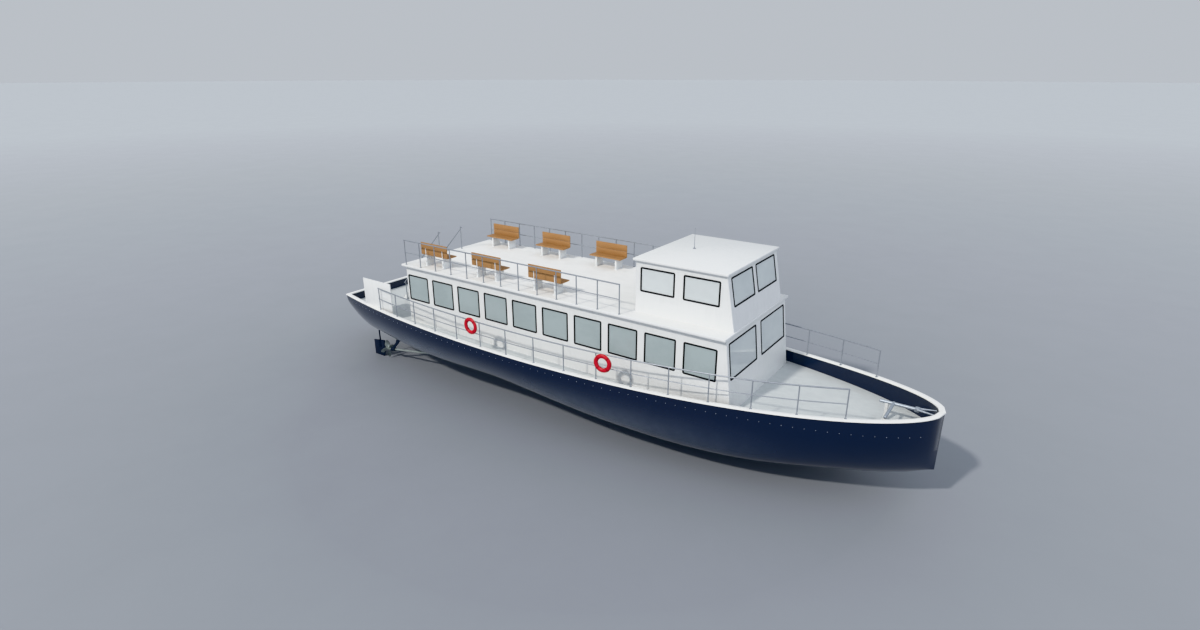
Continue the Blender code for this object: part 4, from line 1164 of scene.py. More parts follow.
@dataclass(frozen=True)
class WindowRow:
    """A row of equal windows in one flat wall: black rubber frames with a pane in each.

    The row is drawn along X, upright, and then turned and put in its wall.
    """

    count: int
    pitch: float
    width: float
    height: float
    placed: Matrix
    glass: Finish = GLASS
    lap: float = 0.022
    bar: float = 0.055
    proud: float = 0.05
    corner: float = 0.03
    pane: float = 0.010

    def meshes(self) -> tuple[Mesh, Mesh]:
        """Make the frames and the panes, in their wall.

        Returns:
            The frames, and the panes.
        """
        sizes = {
            "Windows": self.count,
            "Pitch": self.pitch,
            "Width": self.width + self.lap,
            "Height": self.height + self.lap,
            "Bar": self.bar,
            "Depth": self.proud,
            "Corner": self.corner,
            "Glass": self.pane,
        }
        frames = self.frames(Grower("WindowFrames", sizes))
        panes = self.panes(Grower("WindowPanes", sizes))
        for mesh in (frames, panes):
            mesh.transform(self.placed)
        return frames, panes

    def places(self, grower: Grower) -> Socket:
        """Give the points that the windows stand on.

        Args:
            grower: the tree.

        Returns:
            The points.
        """
        step = grower.vector(grower.size("Pitch"))
        inputs = {"Count": grower.size("Windows"), "Offset": step}
        return grower.add("GeometryNodeMeshLine", inputs, {"mode": "OFFSET"})

    def frames(self, grower: Grower) -> Mesh:
        """Grow the frames, each a bar swept round a rectangle with round corners.

        Args:
            grower: the tree.

        Returns:
            The frames.
        """
        sheet = grower.add(
            "GeometryNodeCurvePrimitiveQuadrilateral",
            {"Width": grower.size("Width"), "Height": grower.size("Height")},
        )
        rounded = grower.add(
            "GeometryNodeFilletCurve",
            {"Curve": sheet, "Count": 4, "Radius": grower.size("Corner")},
            {"mode": "POLY"},
        )
        bar = grower.add(
            "GeometryNodeCurvePrimitiveQuadrilateral",
            {"Width": grower.size("Bar"), "Height": grower.size("Depth")},
        )
        softened = grower.add(
            "GeometryNodeFilletCurve",
            {"Curve": bar, "Count": 2, "Radius": grower.times("Bar", 0.2)},
            {"mode": "POLY"},
        )
        swept = grower.add("GeometryNodeCurveToMesh", {"Curve": rounded, "Profile Curve": softened})
        upright = grower.add(
            "GeometryNodeTransform", {"Geometry": swept, "Rotation": (math.pi / 2, 0, 0)}
        )
        return grower.grow(grower.on_points(self.places(grower), upright), RUBBER)

    def panes(self, grower: Grower) -> Mesh:
        """Grow the panes, which reach into the frames.

        Args:
            grower: the tree.

        Returns:
            The panes.
        """
        size = grower.vector(grower.size("Width"), grower.size("Glass"), grower.size("Height"))
        sheet = grower.add("GeometryNodeMeshCube", {"Size": size})
        return grower.grow(grower.on_points(self.places(grower), sheet), self.glass)


@dataclass(frozen=True)
class Door:
    """A cabin door's fittings: its light, lever, hinges and kick plate, on the door's body."""

    room: str
    body: Body
    aft_x: float
    hinge_y: float
    low_z: float
    top_z: float
    width: float = 0.79
    thickness: float = 0.05
    light_below_top: Pair = (0.95, 0.20)
    light_margins: float = 0.29
    rose_radius: float = 0.028
    rose: float = 0.012
    lever_radius: float = 0.010
    lever_length: float = 0.13
    lever_reach: float = 0.05
    lever_inset: float = 0.07
    lever_height: float = 1.0
    knuckle_radius: float = 0.014
    knuckle_half: float = 0.05
    hinge_inset: float = 0.25
    kick_margin: float = 0.06
    kick_top: float = 0.28
    kick: float = 0.004
    gap: float = 0.005
    frame_width: float = 0.06
    frame_proud: float = 0.014
    frame_below: float = 0.04
    sunk: float = 0.002

    def build(self) -> None:
        """Make the door's light and fittings, and the frame round the opening."""
        self.light()
        self.fittings()
        self.kick_plate()
        self.architrave()

    def light(self) -> None:
        """Make the window in the door."""
        low, high = (self.top_z - below for below in self.light_below_top)
        middle = (self.aft_x + self.thickness / 2, self.hinge_y + self.width / 2, (low + high) / 2)
        placed = Matrix.Translation(middle) @ Matrix.Rotation(math.pi / 2, 4, "Z")
        window = WindowRow(
            1, 1.0, self.width - self.light_margins, high - low, placed,
            bar=0.03, proud=0.062, corner=0.04, pane=0.006,
        )  # fmt: skip
        gasket, pane = window.meshes()
        place_piece(f"{self.room}_door_gasket", gasket, RUBBER, self.body, angle=50)
        place_piece(f"{self.room}_door_pane", pane, GLASS, self.body, angle=50)

    def fittings(self) -> None:
        """Make the lever on both faces, and three hinge knuckles on the hinge line."""
        y, z = self.hinge_y + self.width - self.lever_inset, self.low_z + self.lever_height
        thin = self.lever_radius
        form = Form()
        for face, way in ((self.aft_x, -1), (self.aft_x + self.thickness, 1)):
            root, end = face - way * self.sunk, face + way * self.lever_reach
            form.rod((root, y, z), (face + way * self.rose, y, z), self.rose_radius, 18)
            form.rod((face, y, z), (end, y, z), thin, 12)
            form.rod((end, y + thin, z), (end, y - self.lever_length, z), thin, 12)
        low, high = self.low_z + self.hinge_inset, self.top_z - self.hinge_inset
        for height in (low, (self.low_z + self.top_z) / 2, high):
            start = (self.aft_x, self.hinge_y, height - self.knuckle_half)
            end = (self.aft_x, self.hinge_y, height + self.knuckle_half)
            form.rod(start, end, self.knuckle_radius, 12)
        place_piece(f"{self.room}_door_fittings", form.done(), STEEL, self.body)

    def kick_plate(self) -> None:
        """Make the plate at the foot of the outer face."""
        edge = self.kick_margin
        low = (self.aft_x - self.kick, self.hinge_y + edge, self.low_z + edge)
        far = self.hinge_y + self.width - edge
        high = (self.aft_x + self.sunk, far, self.low_z + self.kick_top)
        plate = Form().box(low, high, 0.0015).done()
        place_piece(f"{self.room}_door_kick_plate", plate, STEEL, self.body)

    def architrave(self) -> None:
        """Make the frame round the doorway, on the wall."""
        low_y, high_y = self.hinge_y - self.gap, self.hinge_y + self.width + self.gap
        back, front = self.aft_x - self.frame_proud, self.aft_x + self.sunk
        foot, head = self.low_z - self.frame_below, self.top_z + self.gap
        wide = self.frame_width
        form = Form()
        for start, end in ((low_y - wide, low_y), (high_y, high_y + wide)):
            form.box((back, start, foot), (front, end, head + wide), 0.004)
        form.box((back, low_y, head), (front, high_y, head + wide), 0.004)
        place_piece(f"{self.room}_door_frame", form.done(), WHITE)


@dataclass(frozen=True)
class SideWindows:
    """Where the equal windows of a side wall are."""

    count: int
    first_x: float
    pitch: float
    width: float
    sill: float
    height: float


@dataclass(frozen=True)
class FrontWindows:
    """Where the window is on each side of the centreline of a front wall."""

    near: float
    far: float
    sill: float
    head: float


@dataclass(frozen=True)
class Cabin:
    """A room's outside: its painted walls, corner beads and windows."""

    room: str
    side: SideWindows
    front: FrontWindows
    aft_x: float
    front_x: float
    rake: float
    rake_z: float
    half_width: float
    floor_z: float
    top_z: float
    side_glass: Finish = GLASS
    set_back: float = 0.010
    bead: float = 0.016
    bead_sunk: float = 0.6

    def build(self) -> None:
        """Paint the walls and the door, and make the beads and the windows."""
        for part in ("wall_starboard", "wall_port", "wall_front", "wall_aft", "door"):
            dress(WHITE, f"{self.room}_{part}")
        self.beads()
        self.side_windows()
        self.front_windows()

    def front_at(self, z: float) -> float:
        """Where the raked front wall's outer face is at this height."""
        return self.front_x - self.rake * (z - self.rake_z)

    def beads(self) -> None:
        """Make the rounded beads along the four upright corners."""
        form = Form()
        inset = self.bead * self.bead_sunk
        foot, head = self.front_at(self.floor_z) - inset, self.front_at(self.top_z) - inset
        for side in Side:
            y = side.value * (self.half_width - inset)
            for low_x, high_x in ((foot, head), (self.aft_x + inset, self.aft_x + inset)):
                form.rod((low_x, y, self.floor_z), (high_x, y, self.top_z), self.bead)
        place_piece(f"{self.room}_corner_beads", form.done(), WHITE)

    def side_windows(self) -> None:
        """Make the row of windows in each side wall."""
        row = self.side
        for side in Side:
            y = side.value * (self.half_width - self.set_back)
            placed = Matrix.Translation((row.first_x + row.width / 2, y, row.sill + row.height / 2))
            made = WindowRow(row.count, row.pitch, row.width, row.height, placed, self.side_glass)
            self.glaze(made, f"side_windows_{side.label}", f"glass_{side.label}")

    def front_windows(self) -> None:
        """Make the two windows in the raked front wall."""
        near, far = self.front.near, self.front.far
        middle_z = (self.front.sill + self.front.head) / 2
        tilt = math.atan(self.rake)
        x = self.front_at(middle_z) - self.set_back
        turn = Matrix.Rotation(-tilt, 4, "Y") @ Matrix.Rotation(math.pi / 2, 4, "Z")
        placed = Matrix.Translation((x, -(near + far) / 2, middle_z)) @ turn
        height = (self.front.head - self.front.sill) / math.cos(tilt)
        # the front panes get the glass painted lighter, to stand in for their shade
        made = WindowRow(2, near + far, far - near, height, placed, LIGHTENED_GLASS)
        self.glaze(made, "front_windows", "glass_front")

    def glaze(self, row: WindowRow, name: str, node: str) -> None:
        """Place a row's frames, and its panes in the stead of a glass node.

        Args:
            row: the windows.
            name: their name, without the room's.
            node: the glass node's name, without the room's.
        """
        frames, panes = row.meshes()
        nodes = (f"{self.room}_{node}",)
        place_piece(f"{self.room}_{name}_frames", frames, RUBBER, angle=50)
        place_piece(
            f"{self.room}_{name}_panes", panes, row.glass, replaces=nodes
        )


@dataclass(frozen=True)
class SaloonSeats:
    """Rows of moulded seats on both sides of the aisle, grown from one seat."""

    rows: int = 9
    seats: int = 3
    first_x: float = -6.90
    pitch: float = 1.45
    near_y: float = 0.55
    floor_z: float = 0.74
    seat_width: float = 0.54
    seat_gap: float = 0.02
    shell_inset: float = 0.015
    shell_under: Pair = (0.018, 0.02)
    profile: tuple[Pair, ...] = (
        # x, z along the shell from the front lip to the top of the back
        (0.45, 0.41),
        (0.42, 0.45),
        (0.20, 0.43),
        (0.05, 0.44),
        (-0.01, 0.50),
        (-0.04, 0.70),
        (-0.06, 0.93),
    )

    def build(self) -> None:
        """Make the seats of each side."""
        for side in Side:
            shell = self.shell()
            grower = Grower("SaloonSeatRows", {"Seat Size": 1.0})
            tall = grower.vector(*(grower.size("Seat Size") for _ in range(3)))
            seat = grower.add("GeometryNodeObjectInfo", {"Object": shell}, None, "Geometry")
            sized = grower.add("GeometryNodeTransform", {"Geometry": seat, "Scale": tall})
            made = grower.on_points(grower.size("Guide"), sized)
            data = grower.grow(made, SEAT, points_mesh(self.places(side)))
            bpy.data.objects.remove(shell)
            nodes = (f"saloon_seats_{side.label}",)
            place_piece(f"seat_rows_{side.label}", data, SEAT, Body.FERRY, nodes)

    def places(self, side: Side) -> list[Triple]:
        """Where the seats of one side stand.

        Args:
            side: which side.

        Returns:
            Their places, row by row from aft.
        """
        found = []
        for row in range(self.rows):
            for seat in range(self.seats):
                y = self.near_y + self.seat_width * (seat + 0.5) + self.seat_gap * seat
                found.append((self.first_x + self.pitch * row, side.value * y, self.floor_z))
        return found

    def shell(self) -> bpy.types.Object:
        """Make one seat, a curved shell on a pedestal, with its back near X zero.

        Returns:
            The seat, to be copied.
        """
        half = self.seat_width / 2 - self.shell_inset
        back, down = self.shell_under
        under = [(x - back, z - down) for x, z in reversed(self.profile[1:])]
        form = Form().prism([*self.profile, *under], Axis.Y, -half, half)
        form.box((0.10, -0.20, 0.0), (0.34, 0.20, 0.025), 0.005)
        form.rod((0.21, 0, 0.01), (0.21, 0, 0.43), 0.05, 14)
        return linked("seat_shell", form.done())


@dataclass(frozen=True)
class Railing:
    """A rail of posts with a top tube and a middle tube, which run a little past the first post."""

    name: str
    feet: tuple[Triple, ...]
    height: float
    overrun: float
    tube_radius: float = 0.024
    mid_radius: float = 0.016
    post_radius: float = 0.020
    flange: Pair = (1.3, 2.3)

    def build(self) -> None:
        """Make the tubes and grow the posts."""
        first, second, *rest = (Vector(foot) for foot in self.feet)
        start = first + (first - second).normalized() * self.overrun
        line = self.smooth([start, second, *rest])
        form = Form()
        for level, radius in ((self.height, self.tube_radius), (self.height / 2, self.mid_radius)):
            raised = [point + Vector((0, 0, level)) for point in line]
            form.tube(raised, radius)
            for point in (raised[0], raised[-1]):
                form.ball(point, radius)
        tubes = form.done()
        place_piece(f"{self.name}_tubes", tubes, STEEL, replaces=(self.name,))
        place_piece(f"{self.name}_posts", self.posts(), STEEL)

    def smooth(self, line: list[Vector]) -> list[Vector]:
        """Put three points between each two, on a smooth curve through all.

        Args:
            line: the points.

        Returns:
            The points with those between them.
        """
        found = []
        for index in range(len(line) - 1):
            before = line[max(index - 1, 0)]
            one, other = line[index], line[index + 1]
            after = line[min(index + 2, len(line) - 1)]
            for step in range(4):
                part = step / 4
                found.append(
                    0.5
                    * (
                        2 * one
                        + (other - before) * part
                        + (2 * before - 5 * one + 4 * other - after) * part**2
                        + (3 * one - before - 3 * other + after) * part**3
                    )
                )
        return [*found, line[-1]]

    def posts(self) -> Mesh:
        """Grow a post with a foot flange on every foot.

        Returns:
            The posts.
        """
        sizes = {"Post Radius": self.post_radius, "Post Height": self.height}
        grower = Grower("RailPosts", sizes)
        radius, height = grower.size("Post Radius"), grower.size("Post Height")
        tube = {"Vertices": 12, "Radius": radius, "Depth": height}
        post = grower.add("GeometryNodeMeshCylinder", tube)
        lift = grower.vector(z=grower.times("Post Height", 0.5))
        stood = grower.add("GeometryNodeTransform", {"Geometry": post, "Translation": lift})
        top, bottom = (grower.times("Post Radius", part) for part in self.flange)
        cone = {"Vertices": 18, "Radius Top": top, "Radius Bottom": bottom, "Depth": 0.014}
        flange = grower.add("GeometryNodeMeshCone", cone)
        both = grower.add("GeometryNodeJoinGeometry", {0: [stood, flange]})
        made = grower.on_points(grower.size("Guide"), both)
        return grower.grow(made, STEEL, points_mesh(self.feet))


@dataclass(frozen=True)
class Bench:
    """A teak bench with a plank seat and back on two white pedestals."""

    side: Side
    number: int
    centre_x: float
    deck_z: float = 3.3783
    length: float = 1.56
    front_y: float = 1.72
    depth: float = 0.46
    seat_z: float = 0.50
    plank: float = 0.045
    gap: float = 0.005
    back_z: Pair = (0.47, 0.99)
    back_gap: float = 0.03
    back_thickness: float = 0.04
    leg_inset: float = 0.28
    leg: float = 0.09
    leg_front: float = 0.08
    foot_margin: Pair = (0.03, 0.02)
    foot: float = 0.012
    bracket: float = 0.012
    bracket_half: float = 0.02
    bracket_reach: Pair = (-0.1, 0.3)

    def build(self) -> None:
        """Make the planks and the pedestals."""
        name = f"{self.side.label}_{self.number}"
        nodes = (f"bench_{name}",)
        place_piece(f"bench_planks_{name}", self.planks(), TEAK, replaces=nodes)
        place_piece(f"bench_pedestals_{name}", self.pedestals(), LEG)

    def span(self, near: float, far: float) -> Pair:
        """Give two distances from the centreline as ordered Y values on this side."""
        low, high = sorted((self.side.value * near, self.side.value * far))
        return low, high

    def planks(self) -> Mesh:
        """Make two seat planks and two back planks, with a gap between the two.

        Returns:
            The planks.
        """
        form = Form()
        low_x, high_x = self.centre_x - self.length / 2, self.centre_x + self.length / 2
        top = self.deck_z + self.seat_z
        half = (self.depth - self.gap) / 2
        for start in (self.front_y, self.front_y + half + self.gap):
            near, far = self.span(start, start + half)
            form.box((low_x, near, top - self.plank), (high_x, far, top), 0.006)
        near, far = self.span(self.back_y, self.back_y + self.back_thickness)
        low_z, high_z = self.back_z
        half = (high_z - low_z - 2 * self.gap) / 2
        for bottom in (self.deck_z + low_z, self.deck_z + high_z - half):
            form.box((low_x, near, bottom), (high_x, far, bottom + half), 0.006)
        return form.done()

    @property
    def back_y(self) -> float:
        """How far from the centreline the back's front face is."""
        return self.front_y + self.depth + self.back_gap

    def pedestals(self) -> Mesh:
        """Make two pedestals, each with a foot plate and a bracket behind the back.

        Returns:
            The pedestals.
        """
        form = Form()
        behind = self.back_y + self.back_thickness
        under = self.deck_z + self.seat_z - self.plank
        wide, deep = self.foot_margin
        low_z, high_z = (under + reach for reach in self.bracket_reach)
        start, end = self.span(self.front_y + self.leg_front, behind + self.bracket)
        near, far = self.span(behind - 0.001, behind + self.bracket)
        for way in (-1, 1):
            x = self.centre_x + way * (self.length / 2 - self.leg_inset)
            low, high = x - self.leg / 2, x + self.leg / 2
            form.box((low, start, self.deck_z), (high, end, under), 0.012)
            foot = (high + wide, end + deep, self.deck_z + self.foot)
            form.box((low - wide, start - deep, self.deck_z), foot, 0.004)
            half = self.bracket_half
            form.box((x - half, near, low_z), (x + half, far, high_z), 0.003)
        return form.done()


@dataclass(frozen=True)
class Stair:
    """The stair from the upper deck down to the main deck, with its handrails."""

    top_x: float = -8.4203
    top_z: float = 3.378
    low_z: float = 0.7403
    run: float = 2.60
    steps: int = 11
    half_width: float = 0.60
    string: float = 0.03
    string_depth: float = 0.30
    rail_height: float = 0.93
    rail_y: float = 0.675
    rail_radius: float = 0.020
    post_inset: float = 0.20
    end_inset: float = 0.10
    overrun: float = 0.10
    ball: float = 0.024
    flange: Pair = (0.048, 0.012)
    foot: Pair = (0.12, 0.16)
    tread: Pair = (0.25, 0.03)
    tread_shift: float = 0.07
    nose: float = 0.0175

    def build(self) -> None:
        """Make the strings, treads and handrails."""
        foot_x = self.top_x - self.run
        front, back = self.foot
        outline = (
            (self.top_x, self.top_z),
            (self.top_x, self.top_z - self.string_depth),
            (foot_x + front, self.low_z),
            (foot_x - back, self.low_z),
        )
        form = Form()
        for side in Side:
            faces = (side.value * self.half_width, side.value * (self.half_width + self.string))
            form.prism(outline, Axis.Y, min(faces), max(faces), 0.006)
        place_piece("stair_strings", form.done(), WHITE, replaces=("stair",))
        place_piece("stair_treads", self.treads(), DECK)
        for side in Side:
            self.handrail(side)

    def treads(self) -> Mesh:
        """Grow the treads down the slope, each a plate with a rounded nose.

        Returns:
            The treads.
        """
        rise, going = (self.top_z - self.low_z) / self.steps, self.run / self.steps
        width = 2 * self.half_width + 0.01
        sizes = {"Treads": self.steps - 1, "Going": going, "Rise": rise, "Width": width}
        deep, thick = self.tread
        grower = Grower("StairTreads", sizes)
        down = grower.vector(grower.times("Going", -1), 0.0, grower.times("Rise", -1))
        first = grower.vector(
            self.top_x - going + self.tread_shift, 0.0, self.top_z - rise - self.nose
        )
        inputs = {"Count": grower.size("Treads"), "Start Location": first, "Offset": down}
        line = grower.add("GeometryNodeMeshLine", inputs, {"mode": "OFFSET"})
        size = grower.vector(deep, grower.size("Width"), thick)
        plate = grower.add("GeometryNodeMeshCube", {"Size": size})
        inputs = {"Vertices": 12, "Radius": self.nose, "Depth": grower.size("Width")}
        rod = grower.add("GeometryNodeMeshCylinder", inputs)
        place = {"Translation": (-deep / 2, 0, 0), "Rotation": (math.pi / 2, 0, 0)}
        nose = grower.add("GeometryNodeTransform", {"Geometry": rod, **place})
        both = grower.add("GeometryNodeJoinGeometry", {0: [plate, nose]})
        return grower.grow(grower.on_points(line, both), DECK)

    def handrail(self, side: Side) -> None:
        """Make one handrail with its two posts and its end balls.

        Args:
            side: which side.
        """
        y, radius = side.value * self.rail_y, self.rail_radius
        slope = (self.top_z - self.low_z) / self.run
        post_x = self.top_x + self.post_inset
        end_x = self.top_x - self.run + self.end_inset
        foot_x = end_x + self.end_inset

        def on_rail(x: float) -> Triple:
            """Give the point of the rail's axis at X."""
            return x, y, self.top_z + self.rail_height - slope * (post_x - x)

        over, end = on_rail(post_x + self.overrun), on_rail(end_x)
        post_top = (post_x, y, over[2])
        form = Form().tube([over, end], radius)
        form.rod((post_x, y, self.top_z), post_top, radius)
        form.rod((foot_x, y, self.low_z), on_rail(foot_x), radius)
        wide, thick = self.flange
        for x, z in ((post_x, self.top_z), (foot_x, self.low_z)):
            form.rod((x, y, z), (x, y, z + thick), wide, 20)
        for point in (over, post_top, end):
            form.ball(point, self.ball)
        name, nodes = f"stair_rail_{side.label}", (f"stair_handrail_{side.label}",)
        place_piece(name, form.done(), STEEL, replaces=nodes)


@dataclass(frozen=True)
class LifeRing:
    """A red life ring with four webbing straps and a grab line, hung outside the rail."""

    side: Side
    number: int
    x: float
    z: float
    lines: HullLines
    radius: float = 0.335
    tube: float = 0.075
    flat: float = 0.75
    rail_inset: float = 0.10
    stand_off: float = 0.111
    strap: float = 0.003
    strap_half: float = 0.08
    line_radius: float = 0.006
    line_gap: float = 0.004
    line_slack: float = 0.016

    def build(self) -> None:
        """Make the ring, its straps and its line."""
        name = f"{self.side.label}_{self.number}"
        nodes = (f"life_ring_{name}",)
        ring = self.sweep(Form(), (0.0, 2 * math.pi), 48, closed=True).done()
        place_piece(f"ring_{name}", ring, RING, replaces=nodes)
        straps = Form()
        for quarter in range(4):
            middle = math.pi / 4 + quarter * math.pi / 2
            self.sweep(straps, (middle - self.strap_half, middle + self.strap_half), 6, self.strap)
        place_piece(f"ring_straps_{name}", straps.done(), STRAP)
        place_piece(f"ring_line_{name}", self.line(), ROPE)

    def at(self, along: float, out: float, up: float) -> Vector:
        """Put a point of the ring's own plane in the boat's frame.

        Args:
            along: how far forward of its middle.
            out: how far outboard.
            up: how far up.

        Returns:
            The point.
        """
        half, x, step = self.lines.half_breadth, self.x, 0.3
        slope = (half(x + step) - half(x - step)) / (2 * step)
        outward = half(x) - self.rail_inset + self.stand_off + slope * along + out
        return Vector((x + along, self.side.value * outward, self.z + up))

    def sweep(
        self, form: Form, span: Pair, steps: int, extra: float = 0.0, closed: bool = False
    ) -> Form:
        """Add part of the ring to a form.

        Args:
            form: the form.
            span: the angles that it starts and ends at.
            steps: how many steps it is made in.
            extra: how much fatter than the ring it is.
            closed: whether it goes all round.

        Returns:
            The form.
        """
        start, end = span
        middle, thick = self.radius - self.tube, self.tube + extra
        rings = []
        for index in range(steps if closed else steps + 1):
            angle = start + (end - start) * index / steps
            ring = []
            for wide, out in circle(16):
                reach = middle + thick * wide
                along, up = reach * math.cos(angle), reach * math.sin(angle)
                ring.append(self.at(along, self.flat * thick * out, up))
            rings.append(ring)
        return form.loft(rings, closed)

    def line(self) -> Mesh:
        """Make the grab line, held at the straps and slack between them.

        Returns:
            The line.
        """
        points = []
        for along, up in circle(64):
            slack = self.line_slack * abs(along**2 - up**2)
            reach = self.radius + self.line_gap + slack
            points.append(self.at(reach * along, 0.0, reach * up))
        return Form().tube(points, self.line_radius, 8, closed=True).done()


@dataclass(frozen=True)
class UpperDeck:
    """The slab over the saloon that is the open upper deck, with its gutter edge."""

    aft_x: float = -8.42
    front_x: float = 6.80
    half_width: float = 2.715
    low_z: float = 3.278
    top_z: float = 3.378
    edge: float = 0.10
    coating: Pair = (-0.004, 0.0015)

    def build(self) -> None:
        """Make the slab with rounded edges, and its non-slip top a hair above it."""
        low = (self.aft_x, -self.half_width, self.low_z)
        slab = Form().box(low, (self.front_x, self.half_width, self.top_z), 0.022).done()
        place_piece("upper_deck_slab", slab, WHITE, replaces=("upper_deck",))
        edge, (under, over) = self.edge, self.coating
        low = (self.aft_x + edge, -self.half_width + edge, self.top_z + under)
        high = (self.front_x - edge, self.half_width - edge, self.top_z + over)
        place_piece("upper_deck_coating", Form().box(low, high).done(), ROOF)


@dataclass(frozen=True)
class WheelhouseTop:
    """The wheelhouse roof with its drip edge, and the whip antenna."""

    aft_x: float = 2.99
    front_x: float = 6.50
    half_width: float = 2.142
    low_z: float = 5.205
    top_z: float = 5.295
    antenna: Pair = (4.12, 0.15)
    antenna_parts: tuple[tuple[float, float, float, int, float], ...] = (
        # foot and head above the roof, radius, sides, radius at the head
        (-0.002, 0.018, 0.048, 24, 0.048),
        (0.01, 0.07, 0.026, 20, 0.016),
        (0.06, 0.73, 0.011, 10, 0.007),
    )
    tip: Pair = (0.737, 0.012)

    def build(self) -> None:
        """Make the roof and the antenna."""
        low = (self.aft_x, -self.half_width, self.low_z)
        roof = Form().box(low, (self.front_x, self.half_width, self.top_z), 0.02).done()
        place_piece("roof_slab", roof, WHITE, replaces=("wheelhouse_roof",))
        x, y = self.antenna
        form = Form()
        for foot, head, radius, sides, top in self.antenna_parts:
            form.rod((x, y, self.top_z + foot), (x, y, self.top_z + head), radius, sides, top)
        form.ball((x, y, self.top_z + self.tip[0]), self.tip[1])
        place_piece("whip_antenna", form.done(), STEEL, replaces=("antenna",))


@dataclass(frozen=True)
class Helm:
    """The console, wheel and chair inside the wheelhouse. Heights are above its floor."""

    floor_z: float = 3.3783
    console_half: float = 0.70
    console: tuple[Pair, ...] = (
        # x, height
        (5.85, 0.0),
        (6.30, 0.0),
        (6.30, 0.95),
        (5.97, 0.95),
        (5.85, 0.92),
    )
    dial_y: tuple[float, ...] = (-0.45, -0.15, 0.15, 0.45)
    dial_half: float = 0.12
    dial_x: Pair = (6.02, 6.22)
    dial_height: Pair = (0.948, 0.956)
    lever_y: Pair = (-0.30, -0.24)
    lever_x: Pair = (6.0, 5.95)
    lever_height: Pair = (0.94, 1.06)
    column_x: float = 5.95
    wheel_x: float = 5.72
    wheel_height: float = 0.80
    wheel_radius: float = 0.24
    hub_x: Pair = (-0.02, 0.035)
    spokes: int = 6
    first_spoke: float = 0.1
    chair_x: float = 4.95
    pillar: tuple[tuple[float, float, float, int, float], ...] = (
        # foot, head, radius, sides, radius at the head
        (0.0, 0.03, 0.20, 28, 0.17),
        (0.02, 0.52, 0.045, 18, 0.045),
    )
    chair: tuple[tuple[Triple, Triple, float], ...] = (
        # low corner, high corner, softness of the seat, the back and the two arms
        ((4.70, -0.25, 0.50), (5.18, 0.25, 0.61), 0.035),
        ((4.62, -0.24, 0.58), (4.72, 0.24, 1.25), 0.035),
        ((4.72, -0.25, 0.74), (5.05, -0.21, 0.78), 0.012),
        ((4.72, 0.21, 0.74), (5.05, 0.25, 0.78), 0.012),
    )

    def at(self, x: float, y: float, height: float) -> Triple:
        """Give a point at a height above the floor."""
        return x, y, self.floor_z + height

    def build(self) -> None:
        """Make the console, the wheel and the chair."""
        self.desk()
        self.wheel()
        self.seat()

    def desk(self) -> None:
        """Make the console with its dials and levers."""
        outline = [(x, self.floor_z + height) for x, height in self.console]
        form = Form().prism(outline, Axis.Y, -self.console_half, self.console_half, 0.015)
        column = self.at(self.column_x, 0, self.wheel_height)
        form.rod(column, self.at(self.wheel_x + 0.03, 0, self.wheel_height), 0.028, 18)
        desk = form.done()
        place_piece("helm_desk", desk, CONSOLE, replaces=("helm_console",))
        (low_x, high_x), (low, high) = self.dial_x, self.dial_height
        dials = Form()
        for y in self.dial_y:
            start = self.at(low_x, y - self.dial_half, low)
            dials.box(start, self.at(high_x, y + self.dial_half, high), 0.002)
        place_piece("helm_dials", dials.done(), RUBBER)
        levers = Form()
        for y in self.lever_y:
            foot, knob = (self.at(x, y, z) for x, z in zip(self.lever_x, self.lever_height))
            levers.rod(foot, knob, 0.007, 10)
            levers.ball(knob, 0.018)
        place_piece("helm_levers", levers.done(), STEEL)

    def wheel(self) -> None:
        """Make the spoked wheel."""
        x, radius = self.wheel_x, self.wheel_radius
        aft, fore = (self.at(x + part, 0, self.wheel_height) for part in self.hub_x)
        form = Form().rod(aft, fore, 0.05, 24)
        height = self.wheel_height
        rim = [self.at(x, radius * wide, height + radius * up) for wide, up in circle(40)]
        form.tube(rim, 0.018, 10, closed=True)
        middle = self.at(x, 0, height)
        for index in range(self.spokes):
            angle = 2 * math.pi * index / self.spokes + self.first_spoke
            wide, up = radius * math.cos(angle), radius * math.sin(angle)
            form.rod(middle, self.at(x, wide, height + up), 0.010, 10)
        place_piece("spoked_wheel", form.done(), TEAK, replaces=("helm_wheel",))

    def seat(self) -> None:
        """Make the moulded chair on its pillar."""
        form = Form()
        for foot, head, radius, sides, top in self.pillar:
            ends = self.at(self.chair_x, 0, foot), self.at(self.chair_x, 0, head)
            form.rod(*ends, radius, sides, top)
        for low, high, soft in self.chair:
            form.box(self.at(*low), self.at(*high), soft)
        chair = form.done()
        place_piece("pilot_chair", chair, SEAT, replaces=("helm_chair",))


